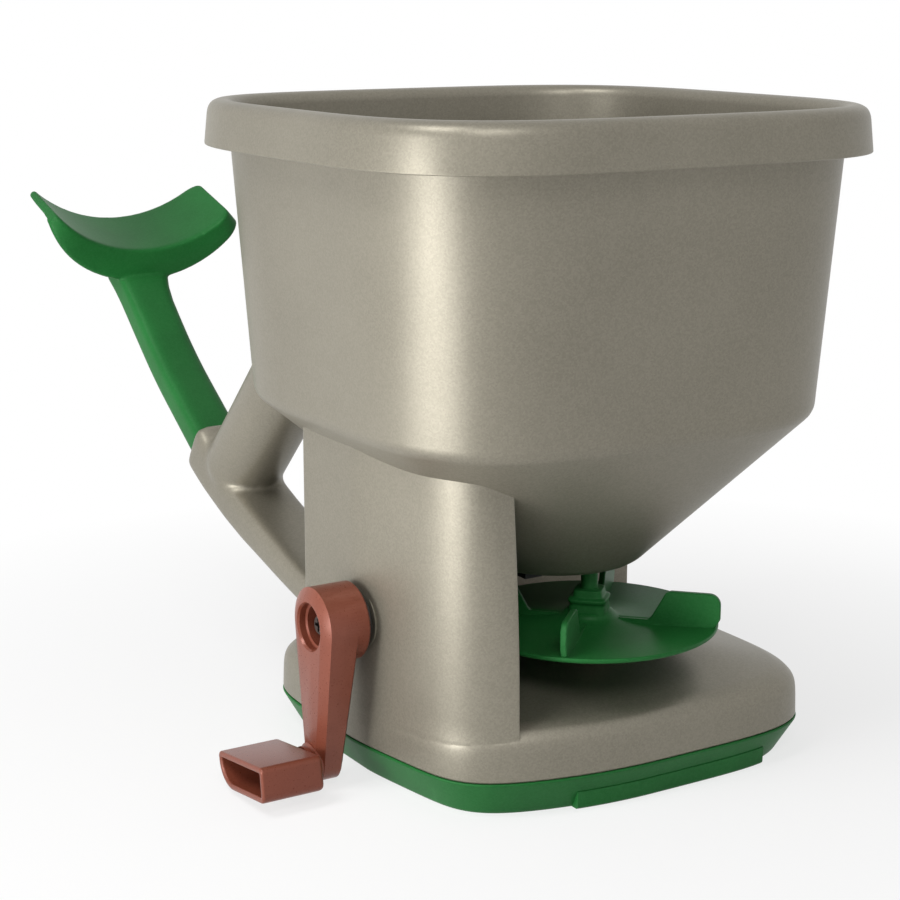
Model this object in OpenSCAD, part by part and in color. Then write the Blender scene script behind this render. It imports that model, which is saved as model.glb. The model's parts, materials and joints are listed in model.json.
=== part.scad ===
// Hand spreader: square hopper over a hand cranked spinner, with a loop grip
// and a forearm rest. Millimetres, Z up, floor at z = 0, front is -Y,
// the crank is on -X. The origin lies on the floor under the hopper's middle.

/* [Hopper] */
// half width over the rim lip
rim_half = 100; // [97:1:103]
// height of the rim above the floor
rim_z = 231; // [227:1:235]
// height of the turned down lip
lip_h = 16.5; // [15:0.5:18]
// half width at the bend from wall to funnel
bend_half = 85.5; // [84:0.5:87]
// height of that bend
bend_z = 124; // [122:1:127]
// wall thickness of the hopper
hopper_wall = 2.6; // [2.3:0.1:3]
// outer radius of the spout
spout_r = 30; // [29:0.5:31]
// distance of the spout ahead of the hopper's middle
spout_lead = 18; // [17:0.5:19]
// height of the spout's flat underside
spout_z = 70; // [69.5:0.5:71]
// radius of the outlet
outlet_r = 9; // [7:0.5:10]

/* [Base] */
// half width of the base
base_half = 79; // [78:0.5:81]
// reach of the base ahead of its middle
base_front = 74; // [72:0.5:76]
// reach of the base behind its middle
base_back = 74; // [71:1:76]
// height of the base plate
plate_h = 13; // [12:0.5:13.5]
// thickness of the plate's floor
plate_floor = 3; // [2.5:0.1:3.2]
// height of the housing's deck at its top
deck_z = 43.5; // [43:0.5:44.5]
// wall thickness of the housing
wall = 2.8; // [2.4:0.1:3]

/* [Column] */
// distance from the middle to the column's inner face
column_in = 49.5; // [49:0.5:50.5]
// rear face of the column
column_back = 28; // [27:0.5:29]
// far end of the wall behind the spinner
rear_wall_end = 64; // [60:1:66]
// lean of the column's front face
column_lean = 5; // [4:0.5:6]

/* [Spinner] */
// distance of the spinner's shaft ahead of the hopper's middle
spin_lead = 40; // [39.5:0.25:40.5]
// radius of the disc
disc_r = 45.3; // [44:0.1:46]
// height of the disc's rim
disc_z = 52.7; // [52.2:0.1:53.2]
// height of the paddles over the rim
paddle_h = 11.8; // [9:0.2:12]
// diameter of the spinner's shaft
spin_d = 6; // [5.5:0.1:6.5]

/* [Crank] */
// height of the crank's axis
crank_z = 58; // [57:0.5:59]
// distance of the crank's axis ahead of the hopper's middle
crank_lead = 13; // [12:0.5:14]
// distance from the crank's axis to the knob's axis
throw = 48.5; // [46:0.5:49]
// radius of the crank's boss
boss_r = 13.5; // [13:0.25:14]
// thickness of the boss
boss_t = 17; // [16:0.5:18]
// diameter of the crank's shaft
crank_d = 10; // [9:0.5:10]
// length of the knob
knob_len = 23; // [20:1:28]
// width of the knob
knob_w = 34; // [30:1:36]
// height of the knob
knob_h = 12.4; // [12:0.2:13]
// turn of the knob as it hangs
knob_tilt = 8; // [0:1:12]

/* [Gears] */
// module of the spur pair
spur_m = 1.5; // [1.48:0.01:1.52]
// teeth of the drive gear
drive_teeth = 40; // [40:1:40]
// teeth of the lay pinion
pinion_teeth = 20; // [20:1:20]
// module of the bevel pair
bevel_m = 1.3; // [1.26:0.01:1.32]
// teeth of the bevel gear
gear_teeth = 18; // [18:1:18]
// teeth of the bevel pinion
top_teeth = 12; // [12:1:12]
// face width of the spur pair
spur_face = 8; // [7:0.5:9]
// play between tooth flanks
backlash = 0.24; // [0.2:0.02:0.3]

/* [Handle] */
// distance from the middle to the plane of the grip
grip_side = 60; // [59:0.5:62]
// diameter of the grip
grip_d = 30; // [28:0.5:31]
// width of the lower strut
strut_w = 27; // [26:0.5:28]
// width of the stem of the forearm rest
stem_w = 21; // [20:0.5:22]
// thickness of the stem
stem_t = 15; // [14:0.5:16]
// half width of the forearm saddle
saddle_half = 40; // [38.5:0.5:42]
// depth of the saddle's hollow
saddle_depth = 17; // [15:0.5:19]
// length of the forearm saddle
saddle_len = 38; // [34:1:42]

/* [Gate] */
// travel of the gate
gate_travel = 20; // [18:0.5:20]
// thickness of the gate
gate_t = 1.8; // [1.6:0.1:2]

/* [Fits] */
// radial play of a turning shaft
run_play = 0.05; // [0.04:0.01:0.08]
// gap between moving faces
move_gap = 0.4; // [0.35:0.05:0.5]
// gap between the hopper and the pieces that meet it
seat_gap = 0.2; // [0.15:0.05:0.3]

/* [Hidden] */
$fn = 64;
cyc = -8;
ring_n = 96;
step = 360 / ring_n;
lip_z = rim_z - lip_h;
wall_top = rim_half - 8;
lip_n = 3.85;
axis_y = -crank_lead;
spur_c = spur_m * (drive_teeth + pinion_teeth) / 2;
lay_dy = spin_lead - crank_lead;
lay_z = crank_z - sqrt(spur_c * spur_c - lay_dy * lay_dy);
lay_d = 7;
drive_pitch = spur_m * drive_teeth / 2;
mesh_turn = atan2(-lay_dy, lay_z - crank_z);
gear_r = bevel_m * gear_teeth / 2;
top_r = bevel_m * top_teeth / 2;
cone = sqrt(gear_r * gear_r + top_r * top_r);
bevel_face = 4.6;
skin = 0.985;
nose_n = 3.1;
// outline's half width at a distance y ahead of its middle
function edge_x(y) = base_half * skin * pow(1 - pow(y / base_front / skin, nose_n), 1 / nose_n);
// outline's reach ahead at a distance x beside the middle
function edge_y(x) = base_front * skin * pow(1 - pow(x / base_half / skin, nose_n), 1 / nose_n);
column_front = edge_y(column_in) - cyc;
lay_end = edge_x(spin_lead + cyc + 8) - wall;
lay_boss = 4.6;
out_x = base_half * skin;
in_x = out_x - wall;
spur_x = -in_x + 9.5;
spur_in = -spur_x - spur_face;
bush_in = in_x - 2;
bush_z = lay_z + gear_r + 3.4;
shelf_z = crank_z + drive_pitch + spur_m + 3;
arm_back = -out_x - 2.2;
arm_face = arm_back - boss_t;
pin_z = crank_z - throw;
knob_x = arm_face - 3.6;
knob_base = 6;
pin_d = 6;
gate_z = spout_z - 1.6 - gate_t;
gate_half = outlet_r + 3;
outlet_y = -10;
rear_y = column_back - 4.7;
gate_end = rear_y - gate_travel - 0.7;
stem_slope = 33;
mouth = [134, 89.5];
grip_low = [110, 86];
stem_half = 46;
stem_turn = 10;
saddle_r = (saddle_half * saddle_half + saddle_depth * saddle_depth) / (2 * saddle_depth);
saddle_tilt = 17;
saddle_at = [197, 159 + saddle_depth];
heel_w = stem_w - 3;
screw_d = 3;
pilot_d = 3;
foot_from = -29.5;
foot_to = 50;
base_spots = [[-45, -60], [54, -60], [-64, 14], [64, 14], [-42, 48], [42, 48]];
hopper_spots = [[-64, -46], [-66, 8]];

taupe = [0.60, 0.57, 0.50];
green = [0.18, 0.49, 0.24];
rust = [0.63, 0.34, 0.25];
nylon = [0.90, 0.89, 0.84];
steel = [0.72, 0.73, 0.75];
dark = [0.22, 0.22, 0.23];

// radius of a rounded square of half width a at the polar angle t
function squircle(a, n, t) =
    a / pow(pow(abs(cos(t)), n) + pow(abs(sin(t)), n), 1 / n);

// one level of the hopper: half width, squareness, lead of its middle, height
function level(a, n, lead, z) =
    [for (i = [0:ring_n - 1])
        let (t = i * step, r = squircle(a, n, t)) [r * cos(t), r * sin(t) - lead, z]];

// a point of the base's outline at the polar angle t
function base_point(t, s) =
    let (n = sin(t) > 0 ? 6 : cos(t) > 0 ? 5.2 : nose_n,
        u = abs(cos(t)) / base_half,
        v = abs(sin(t)) / (sin(t) > 0 ? base_back : base_front),
        r = s / pow(pow(u, n) + pow(v, n), 1 / n))
    [r * cos(t), r * sin(t) + cyc];

function base_ring(s) = [for (i = [0:ring_n - 1]) base_point(45 + i * step, s)];

function base_level(s, z) = [for (p = base_ring(s)) [p[0], p[1], z]];

// solid through a stack of levels, lowest first
module loft(levels) {
    k = len(levels[0]);
    m = len(levels);
    points = [for (l = levels) each l];
    sides = [for (j = [0:m - 2], i = [0:k - 1])
        let (a = j * k + i, b = j * k + (i + 1) % k) each [[a, a + k, b + k], [a, b + k, b]]];
    low = [for (i = [0:k - 1]) i];
    high = [for (i = [k - 1:-1:0]) (m - 1) * k + i];
    polyhedron(points, concat([low], sides, [high]), convexity = 8);
}

// levels down the inside of the hopper, d lowers them
function inside_levels(d) =
    let (w = hopper_wall)
    [level(wall_top - w + 3, 4, 0, rim_z - 0.6 - d),
        level(wall_top - w + 0.8, 4, 0, rim_z - 3 - d),
        level(wall_top - w, 4, 0, rim_z - 7 - d),
        level(bend_half + 0.2 - w, 4.2, 0, bend_z + 8 - d),
        level(bend_half - 0.8 - w, 4.2, 0, bend_z + 4.4 - d),
        level(bend_half - 3.4 - w, 4.15, 0, bend_z + 1.2 - d),
        level(bend_half - 7.6 - w, 4, 0, bend_z - 3.2 - d),
        level(spout_r - 1 - w, 2, spout_lead, spout_z + w + 1.6 - d),
        level(spout_r - 4 - w, 2, spout_lead, spout_z + w - d)];

// levels up the outside of the funnel and the wall, grown by g
function outside_levels(g) =
    [level(spout_r - 4 + g, 2, spout_lead, spout_z - g),
        level(spout_r - 1 + g, 2, spout_lead, spout_z + 0.8 - g / 2),
        level(spout_r + 1 + g, 2, spout_lead, spout_z + 2.6 - g / 2),
        level(bend_half - 6.6 + g, 4, 0, bend_z - 5.4),
        level(bend_half - 3 + g, 4.15, 0, bend_z - 1.6),
        level(bend_half - 0.8 + g, 4.2, 0, bend_z + 2.2),
        level(bend_half + 0.1 + g, 4.2, 0, bend_z + 7),
        level(wall_top + g, 4, 0, rim_z - 5)];

// levels round the turned down lip
function lip_levels() =
    [level(rim_half - 4.4, lip_n, 0, rim_z - 4.4),
        level(rim_half - 3.4, lip_n, 0, rim_z - 6),
        level(rim_half - 2.3, lip_n, 0, lip_z),
        level(rim_half, lip_n, 0, lip_z),
        level(rim_half - 0.4, lip_n, 0, lip_z + 2),
        level(rim_half - 1.4, lip_n, 0, rim_z - 4.4),
        level(rim_half - 2.2, lip_n, 0, rim_z - 2),
        level(rim_half - 3.6, lip_n, 0, rim_z - 0.6),
        level(rim_half - 5.4, lip_n, 0, rim_z)];

// hopper with its funnel, spout floor, outlet and fixing bosses
module hopper() {
    color(taupe)
    difference() {
        union() {
            loft(concat(outside_levels(0), lip_levels(), inside_levels(0)));
            hopper_bosses();
        }
        translate([0, outlet_y, spout_z - 1])
            cylinder(r = outlet_r, h = hopper_wall + 4);
        translate([0, -spin_lead, spout_z - 1])
            cylinder(d = spin_d + 2 * move_gap, h = hopper_wall + 12);
        for (p = hopper_spots)
            translate([p[0], p[1], shelf_z])
                cylinder(d = pilot_d, h = 10);
        for (p = guide_spots())
            translate([p[0], p[1], spout_z - 1])
                cylinder(d = 2, h = 2.8);
    }
}

module hopper_bosses() {
    difference() {
        for (p = hopper_spots)
            translate([p[0], p[1], shelf_z + 3])
                cylinder(d = 9, h = bend_z - shelf_z - 6);
        inside = inside_levels(1.3);
        loft([for (i = [len(inside) - 1:-1:0]) inside[i]]);
    }
}

module hopper_outside(g) {
    loft(outside_levels(g));
}

module deck_outside() {
    loft([base_level(0.998, plate_h),
        base_level(0.992, plate_h + 11),
        base_level(0.982, plate_h + 14),
        base_level(0.955, plate_h + 16.6),
        base_level(0.91, plate_h + 18.4),
        base_level(0.78, plate_h + 21),
        base_level(0.58, deck_z - 5.6),
        base_level(0.36, deck_z - 2),
        base_level(0.12, deck_z)]);
}

module deck_inside() {
    t = wall;
    loft([base_level(0.96, plate_h - 1),
        base_level(0.955, plate_h + 11 - t),
        base_level(0.94, plate_h + 14 - t),
        base_level(0.90, plate_h + 16.6 - t),
        base_level(0.85, plate_h + 18.4 - t),
        base_level(0.74, plate_h + 21 - t),
        base_level(0.56, deck_z - 5.6 - t),
        base_level(0.35, deck_z - 2 - t),
        base_level(0.12, deck_z - t)]);
}

// plan of the column, s scales the base's outline, in and back are its straight sides
module column_plan(s, in, back) {
    intersection() {
        polygon(base_ring(s));
        translate([-2 * base_half, -2 * base_half])
            square([2 * base_half - in, 2 * base_half + back]);
    }
}

// column from z0 to z1 with its leaning front, d moves the front back
module column_block(s, in, back, z0, z1, d) {
    difference() {
        translate([0, 0, z0])
            linear_extrude(z1 - z0)
                column_plan(s, in, back);
        translate([-2 * base_half, d - column_front, plate_h + 17])
            rotate([-column_lean, 0, 0])
                translate([0, -60, 0])
                    cube([2 * base_half, 60, 200]);
    }
}

// housing: deck with skirt, gear column on the crank side, wall behind the spinner
module housing() {
    color(taupe)
    difference() {
        union() {
            difference() {
                union() {
                    deck_outside();
                    column_block(skin, column_in, column_back, plate_h + 6, bend_z + 6, 0);
                    rear_wall();
                }
                deck_inside();
                column_block(skin - wall / base_half, column_in + wall, column_back - wall,
                    plate_h - 1, shelf_z, wall);
                column_block(skin - wall / base_half, column_in + wall, column_back - wall,
                    shelf_z + 3, bend_z + 8, wall);
            }
            housing_bosses();
            translate([0, -spin_lead, bush_z])
                cylinder(d = spin_d + 11, h = deck_z + 2 - bush_z);
        }
        hopper_outside(seat_gap);
        translate([-out_x - 5, axis_y, crank_z])
            rotate([0, 90, 0])
                cylinder(d = crank_d + 5, h = wall + 8);
        translate([-column_in - 1.2, axis_y, crank_z])
            rotate([0, -90, 0])
                cylinder(d = crank_d + 2 * run_play, h = spur_in - column_in + 4);
        translate([-lay_end, -spin_lead, lay_z])
            rotate([0, 90, 0])
                cylinder(d = lay_d + 4, h = lay_boss + 7.4);
        translate([0, -spin_lead, bush_z - 5])
            cylinder(d = spin_d + 5, h = 40);
        translate([0, -spin_lead, bush_z - 5.7])
            cylinder(d = 13.4, h = 6);
        for (p = base_spots)
            translate([p[0], p[1], plate_h - 1])
                cylinder(d = pilot_d, h = 11);
        for (p = hopper_spots)
            translate([p[0], p[1], shelf_z - 1])
                cylinder(d = screw_d + 0.4, h = 6);
        for (x = handle_spots())
            translate([x, column_back + 1, strut_z()])
                rotate([90, 0, 0])
                    cylinder(d = screw_d + 0.4, h = wall + 2);
        translate([-gate_half + 3 - move_gap, 10, gate_z - move_gap])
            cube([2 * gate_half - 6 + 2 * move_gap, 60, gate_t + 2 * move_gap]);
    }
}

// wall behind the spinner with ribs on its back
module rear_wall() {
    y = rear_y;
    e = rear_wall_end;
    translate([0, 0, plate_h + 14.3])
        linear_extrude(bend_z - plate_h - 20)
            polygon([[-column_in - 1, y], [e, y], [e, y + 13], [e - 3, y + 13], [e - 3, y + 3],
                [26, y + 3], [26, y + 11], [23, y + 11], [23, y + 3],
                [-22, y + 3], [-22, y + 11], [-25, y + 11], [-25, y + 3], [-column_in - 1, y + 3]]);
}

// bosses inside the housing: base screws, crank bearing, lay shaft bearing
module housing_bosses() {
    for (p = base_spots)
        translate([p[0], p[1], plate_h])
            cylinder(d = 9, h = 18.2);
    translate([-in_x - 1, base_spots[2][1] - 1.5, plate_h])
        cube([in_x + 1 + base_spots[2][0], 3, 18.2]);
    translate([-column_in - 0.5, axis_y, crank_z])
        rotate([0, -90, 0])
            cylinder(d = crank_d + 8, h = spur_in - move_gap - column_in - 0.5);
    translate([-in_x - 1, axis_y, crank_z])
        rotate([0, 90, 0])
            cylinder(d = crank_d + 11, h = in_x + 1 - bush_in);
    translate([-lay_end - 2.2, -spin_lead, lay_z])
        rotate([0, 90, 0])
            cylinder(d = lay_d + 9, h = lay_boss + 2.2);
}

// foot under the front edge of the base plate
module front_foot() {
    intersection() {
        linear_extrude(6.4)
            polygon(base_ring(0.963));
        translate([foot_from, -2 * base_front, -1])
            cube([foot_to - foot_from, 2 * base_front - 50, 9]);
    }
}

// base plate: tapered tray with screw posts
module base_plate() {
    color(green)
    difference() {
        union() {
            difference() {
                union() {
                    loft([base_level(0.915, 0),
                        base_level(0.924, 0.8),
                        base_level(0.995, plate_h - 1.4),
                        base_level(1, plate_h - 0.6),
                        base_level(1, plate_h)]);
                    front_foot();
                }
                loft([base_level(0.885, plate_floor),
                    base_level(0.935, plate_h - 4),
                    base_level(0.95, plate_h + 1)]);
            }
            for (p = base_spots)
                translate([p[0], p[1], plate_floor - 1])
                    cylinder(d = 10, h = plate_h - plate_floor + 1);
        }
        for (p = base_spots) {
            translate([p[0], p[1], -1])
                cylinder(d = screw_d + 0.4, h = plate_h + 2);
            translate([p[0], p[1], -1])
                cylinder(d = 7, h = 6);
        }
        for (p = cradle_spots())
            translate([p[0], p[1], plate_floor - 2])
                cylinder(d = 2.6, h = 4);
    }
}

function handle_spots() = [-grip_side - 8, -grip_side + 1.2];

function strut_z() = 50.6;

function cradle_spots() = [[-28, -52], [-28, -28], [14, -40]];

function guide_spots() = [[-gate_half - 2.6, -20], [gate_half + 2.6, -20],
    [-gate_half - 2.6, 1], [gate_half + 2.6, 1]];

// frame of the stem at its mouth: x along the part's X, z along the stem
module at_mouth() {
    translate([-grip_side, mouth[0], mouth[1]])
        rotate([stem_slope - 90, 0, 0])
            children();
}

module round_bar(w, t, r, h) {
    translate([-w / 2 + r, -t / 2, 0])
        cube([w - 2 * r, t, h]);
    translate([-w / 2, -t / 2 + r, 0])
        cube([w, t - 2 * r, h]);
    for (x = [-w / 2 + r, w / 2 - r], y = [-t / 2 + r, t / 2 - r])
        translate([x, y, 0])
            cylinder(r = r, h = h);
}

// grip loop: round grip, lower strut and the socket for the forearm rest
module handle() {
    color(taupe)
    difference() {
        union() {
            translate([-grip_side, grip_low[0], grip_low[1]])
                rotate([45, 0, 0])
                    cylinder(d = grip_d, h = 74);
            translate([-grip_side, grip_low[0], grip_low[1]])
                sphere(d = grip_d + 1.2);
            translate([-grip_side - strut_w / 2, 0, 0])
                rotate([90, 0, 90])
                    linear_extrude(strut_w)
                        polygon([[column_back, 44.4], [46, 48.2], [60, 51.6], [75, 55.6], [90, 59.4],
                            [105, 64.2], [121.4, 70.7], [138, 79], [131, 92], [118, 87], [107, 81.7],
                            [89, 74.6], [70, 67.9], [51.5, 62], [column_back, 57]]);
            at_mouth()
                translate([0, 0, -22])
                    round_bar(strut_w + 0.6, stem_t + 7, 4, 22);
        }
        hopper_outside(seat_gap);
        at_mouth()
            translate([0, 0, -24])
                round_bar(stem_w, stem_t, 3, 30);
        for (x = handle_spots())
            translate([x, column_back - 1, strut_z()])
                rotate([-90, 0, 0])
                    cylinder(d = pilot_d, h = 13);
        at_mouth()
            translate([-stem_w, 0, -12])
                rotate([0, 90, 0])
                    cylinder(d = screw_d, h = 2 * stem_w);
        at_mouth()
            translate([stem_w / 2 + 2, 0, -12])
                rotate([0, 90, 0])
                    cylinder(d = 6.4, h = 20);
    }
}

// crescent between an inner arc of depth a and an outer arc of depth b
module crescent(a, b) {
    h = saddle_half;
    ra = (h * h + a * a) / (2 * a);
    k = h + 0.9;
    rb = (k * k + b * b) / (2 * b);
    intersection() {
        difference() {
            translate([0, rb - b])
                circle(r = rb, $fn = 120);
            translate([0, ra - a])
                circle(r = ra, $fn = 120);
        }
        translate([-2 * h, -2 * h])
            square([4 * h, 2 * h]);
    }
}

// forearm rest: bent stem with an open saddle
module forearm_rest() {
    color(green)
    difference() {
        union() {
            at_mouth()
                translate([0, 0, -23.7])
                    round_bar(stem_w, stem_t, 3, 23.7 + stem_half);
            at_bend()
                translate([0, 0, -1])
                    round_bar(stem_w, stem_t, 3, stem_half + 12);
            at_saddle()
                linear_extrude(saddle_len)
                    crescent(saddle_depth, saddle_depth + 5);
            at_saddle()
                linear_extrude(4)
                    crescent(saddle_depth, saddle_depth + 12);
            // heel that carries the stem on under the saddle
            at_saddle()
                translate([heel_w / 2, 0, 0])
                    rotate([0, -90, 0])
                        linear_extrude(heel_w)
                            polygon([[4, -saddle_depth - 2], [saddle_len - 4, -saddle_depth - 2],
                                [saddle_len - 2.5, -saddle_depth - 4.5], [12.6, -saddle_depth - 16.2],
                                [6, -saddle_depth - 11]]);
        }
        at_mouth()
            translate([-stem_w, 0, -12])
                rotate([0, 90, 0])
                    cylinder(d = screw_d, h = 2 * stem_w);
        at_saddle()
            translate([0, saddle_r - saddle_depth, -20])
                cylinder(r = saddle_r, h = 90);
    }
}

// frame of the stem where it bends up
module at_bend() {
    at_mouth()
        translate([0, 0, stem_half])
            rotate([stem_turn, 0, 0])
                children();
}

// frame of the saddle's front end: y up, z along the forearm
module at_saddle() {
    translate([-grip_side, saddle_at[0], saddle_at[1]])
        rotate([90 + saddle_tilt, 0, 0])
            mirror([0, 0, 1])
                children();
}

// spinner: dished disc with a hub and four paddles
module impeller() {
    color(green)
    translate([0, -spin_lead, 0])
        difference() {
            union() {
                rotate_extrude($fn = 120)
                    polygon([[0, disc_z - 4], [14, disc_z - 3.6], [disc_r - 1.2, disc_z - 2.2],
                        [disc_r, disc_z - 1.4], [disc_r, disc_z], [disc_r - 1, disc_z],
                        [20, disc_z - 0.6], [10, disc_z + 1.6], [6.4, disc_z + 10],
                        [5.6, disc_z + 11], [0, disc_z + 11]]);
                for (a = [-46, 44, 134, 224])
                    rotate([0, 0, a])
                        paddle();
            }
            translate([0, 0, disc_z - 8])
                cylinder(d = spin_d, h = 30);
        }
}

// one paddle: low rib from the hub that rises to a rounded blade
module paddle() {
    translate([0, 1.1, disc_z - 1.2])
        rotate([90, 0, 0])
            linear_extrude(2.2) {
                polygon([[5, 0], [disc_r - 4, 0], [disc_r - 0.4, 1], [disc_r + 0.9, 4.2],
                    [disc_r + 0.9, paddle_h - 2.8], [27, paddle_h + 1.2], [21.6, 2.4], [5, 2.4]]);
                translate([disc_r - 3.1, paddle_h - 2.8])
                    circle(r = 4);
                translate([28, 0])
                    square([disc_r - 31.1, paddle_h + 1.2]);
            }
}

module impeller_shaft() {
    color(green)
    translate([0, -spin_lead, plate_floor + 4]) {
        cylinder(d = spin_d, h = spout_z + 23 - plate_floor - 4);
        translate([0, 0, spout_z + 23 - plate_floor - 4])
            cylinder(d1 = spin_d, d2 = spin_d - 1.6, h = 0.8);
    }
}

module impeller_bush() {
    color(dark)
    translate([0, -spin_lead, 0])
        difference() {
            union() {
                translate([0, 0, bush_z])
                    cylinder(d = spin_d + 5, h = deck_z + 2.1 - bush_z);
                translate([0, 0, deck_z + 2])
                    cylinder(d = 15, h = 1.6);
            }
            translate([0, 0, lay_z])
                cylinder(d = spin_d + 2 * run_play, h = 60);
        }
}

// stirrer on the shaft's upper end inside the funnel
module agitator() {
    color(green)
    translate([0, -spin_lead, spout_z + 12])
        difference() {
            union() {
                cylinder(d = 10, h = 13);
                for (a = [20, 140, 260])
                    rotate([0, 0, a])
                        translate([2, 0, 8])
                            rotate([0, 78, 0])
                                cylinder(d = 4, h = 11);
            }
            translate([0, 0, -1])
                cylinder(d = spin_d, h = 12.8);
        }
}

// angle in degrees between a tooth's middle and its flank at the radius q
function flank(r, n, q) =
    let (rb = r * cos(20), p = max(q, rb), a = acos(rb / p))
    90 / n - backlash / (4 * r) * 180 / PI + (tan(20) - tan(a)) * 180 / PI - 20 + a;

// flank radii from root to tip
function tooth_radii(r, m, add) = [for (i = [0:5]) r - 1.25 * m + i * (1.25 + add) * m / 5];

// one tooth as pairs of radius and angle
function tooth(r, n, m, add) =
    concat([for (q = tooth_radii(r, m, add)) [q, -flank(r, n, q)]],
        [for (i = [5:-1:0]) let (q = tooth_radii(r, m, add)[i]) [q, flank(r, n, q)]]);

module spur(m, n, turn, h) {
    r = m * n / 2;
    linear_extrude(h)
        polygon([for (i = [0:n - 1], p = tooth(r, n, m, 0.95))
            let (a = turn + 360 * i / n + p[1]) [p[0] * cos(a), p[0] * sin(a)]]);
}

// straight bevel teeth about Z with the apex at the origin, other is the mate's pitch radius
module bevel(m, n, other, turn, add) {
    r = m * n / 2;
    g = atan(r / other);
    rv = r / cos(g);
    nv = n / cos(g);
    profile = tooth(rv, nv, m, add);
    k = len(profile) * n;
    low = (cone - bevel_face) / cone;
    ring = [for (i = [0:n - 1], p = profile)
        let (a = turn + 360 * i / n + p[1] / cos(g), q = p[0] * cos(g), z = cone / cos(g) - p[0] * sin(g))
        [q * cos(a), q * sin(a), z]];
    points = concat([for (p = ring) p * low], ring,
        [[0, 0, other * low], [0, 0, other]]);
    faces = [for (i = [0:k - 1]) let (j = (i + 1) % k)
        each [[i, i + k, j + k], [i, j + k, j], [2 * k, i, j], [2 * k + 1, j + k, i + k]]];
    polyhedron(points, faces, convexity = 10);
}

module at_apex() {
    translate([0, -spin_lead, lay_z])
        children();
}

module bevel_pinion() {
    color(nylon)
    at_apex()
        difference() {
            union() {
                bevel(bevel_m, top_teeth, gear_r, 180 + 180 / top_teeth, 0.85);
                translate([0, 0, gear_r - 0.6])
                    cylinder(d = 12, h = 3.6);
            }
            translate([0, 0, -5])
                cylinder(d = spin_d, h = 40);
        }
}

module bevel_gear() {
    color(nylon)
    at_apex()
        rotate([0, -90, 0])
            difference() {
                union() {
                    bevel(bevel_m, gear_teeth, top_r, 0, 0.8);
                    translate([0, 0, top_r - 0.6])
                        cylinder(d = 14, h = 6);
                }
                translate([0, 0, -5])
                    cylinder(d = lay_d, h = 40);
            }
}

module lay_shaft() {
    color(steel)
    translate([-lay_end + 1, -spin_lead, lay_z])
        rotate([0, 90, 0])
            cylinder(d = lay_d, h = lay_end - 1 - top_r * (cone - bevel_face) / cone);
}

module lay_pinion() {
    color(nylon)
    translate([spur_x + spur_face, -spin_lead, lay_z])
        rotate([0, -90, 0])
            difference() {
                union() {
                    translate([0, 0, -0.5])
                        spur(spur_m, pinion_teeth, mesh_turn + 180 + 180 / pinion_teeth, spur_face + 1);
                    translate([0, 0, -4])
                        cylinder(d = 16, h = 4);
                }
                translate([0, 0, -6])
                    cylinder(d = lay_d, h = spur_face + 12);
            }
}

// plain bearings of the lay shaft: outer wall and cradle
module lay_bushes() {
    color(dark) {
        translate([-lay_end, -spin_lead, lay_z])
            rotate([0, 90, 0])
                difference() {
                    cylinder(d = lay_d + 4, h = lay_boss);
                    translate([0, 0, 0.8])
                        cylinder(d = lay_d + 2 * run_play, h = 10);
                }
        translate([-27, -spin_lead, lay_z])
            rotate([0, 90, 0])
                difference() {
                    union() {
                        cylinder(d = lay_d + 4, h = 8);
                        translate([0, 0, 7])
                            cylinder(d = lay_d + 8, h = 1.4);
                    }
                    translate([0, 0, -1])
                        cylinder(d = lay_d + 2 * run_play, h = 12);
                }
    }
}

// cradle under the deck: carries the lay shaft's inner end and the spinner's foot
module gear_cradle() {
    color(dark)
    difference() {
        union() {
            translate([-34, -spin_lead - 16, plate_floor])
                cube([20, 32, 3]);
            translate([-16, -spin_lead - 8, plate_floor])
                cube([36, 16, 3]);
            translate([0, -spin_lead, plate_floor])
                cylinder(d = spin_d + 5, h = 6.4);
            translate([-27, -spin_lead - 8, plate_floor])
                cube([7, 16, lay_z - plate_floor]);
            translate([-27, -spin_lead, lay_z])
                rotate([0, 90, 0])
                    cylinder(d = 16, h = 7);
        }
        translate([0, -spin_lead, plate_floor + 4])
            cylinder(d = spin_d + 2 * run_play, h = 10);
        translate([-30, -spin_lead, lay_z])
            rotate([0, 90, 0])
                cylinder(d = lay_d + 4, h = 14);
        for (p = cradle_spots())
            translate([p[0], p[1], plate_floor - 1])
                cylinder(d = 2.6, h = 8);
    }
}

module drive_gear() {
    color(nylon)
    translate([spur_x + spur_face, axis_y, crank_z])
        rotate([0, -90, 0])
            difference() {
                union() {
                    difference() {
                        spur(spur_m, drive_teeth, mesh_turn, spur_face);
                        difference() {
                            translate([0, 0, 5.5])
                                cylinder(r = drive_pitch - 6, h = 10);
                            cylinder(d = 20, h = 20);
                        }
                        for (a = [0:60:300])
                            rotate([0, 0, a])
                                translate([drive_pitch * 0.58, 0, -1])
                                    cylinder(d = 9, h = 12);
                    }
                    cylinder(d = 20, h = bush_in - move_gap - spur_in);
                }
                translate([0, 0, -3])
                    cylinder(d = crank_d, h = spur_face + 20);
            }
}

module crank_shaft() {
    color(steel)
    translate([0, axis_y, crank_z])
        rotate([0, -90, 0])
            difference() {
                union() {
                    translate([0, 0, column_in + 1.4])
                        cylinder(d = crank_d, h = -arm_back + 2 - column_in - 1.4);
                    cylinder(d = crank_d - 1, h = -arm_back + 7, $fn = 6);
                }
                translate([0, 0, -1])
                    cylinder(d = 30, h = column_in + 2.4);
                translate([0, 0, -arm_back - 6])
                    cylinder(d = 4, h = 20);
            }
}

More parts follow.
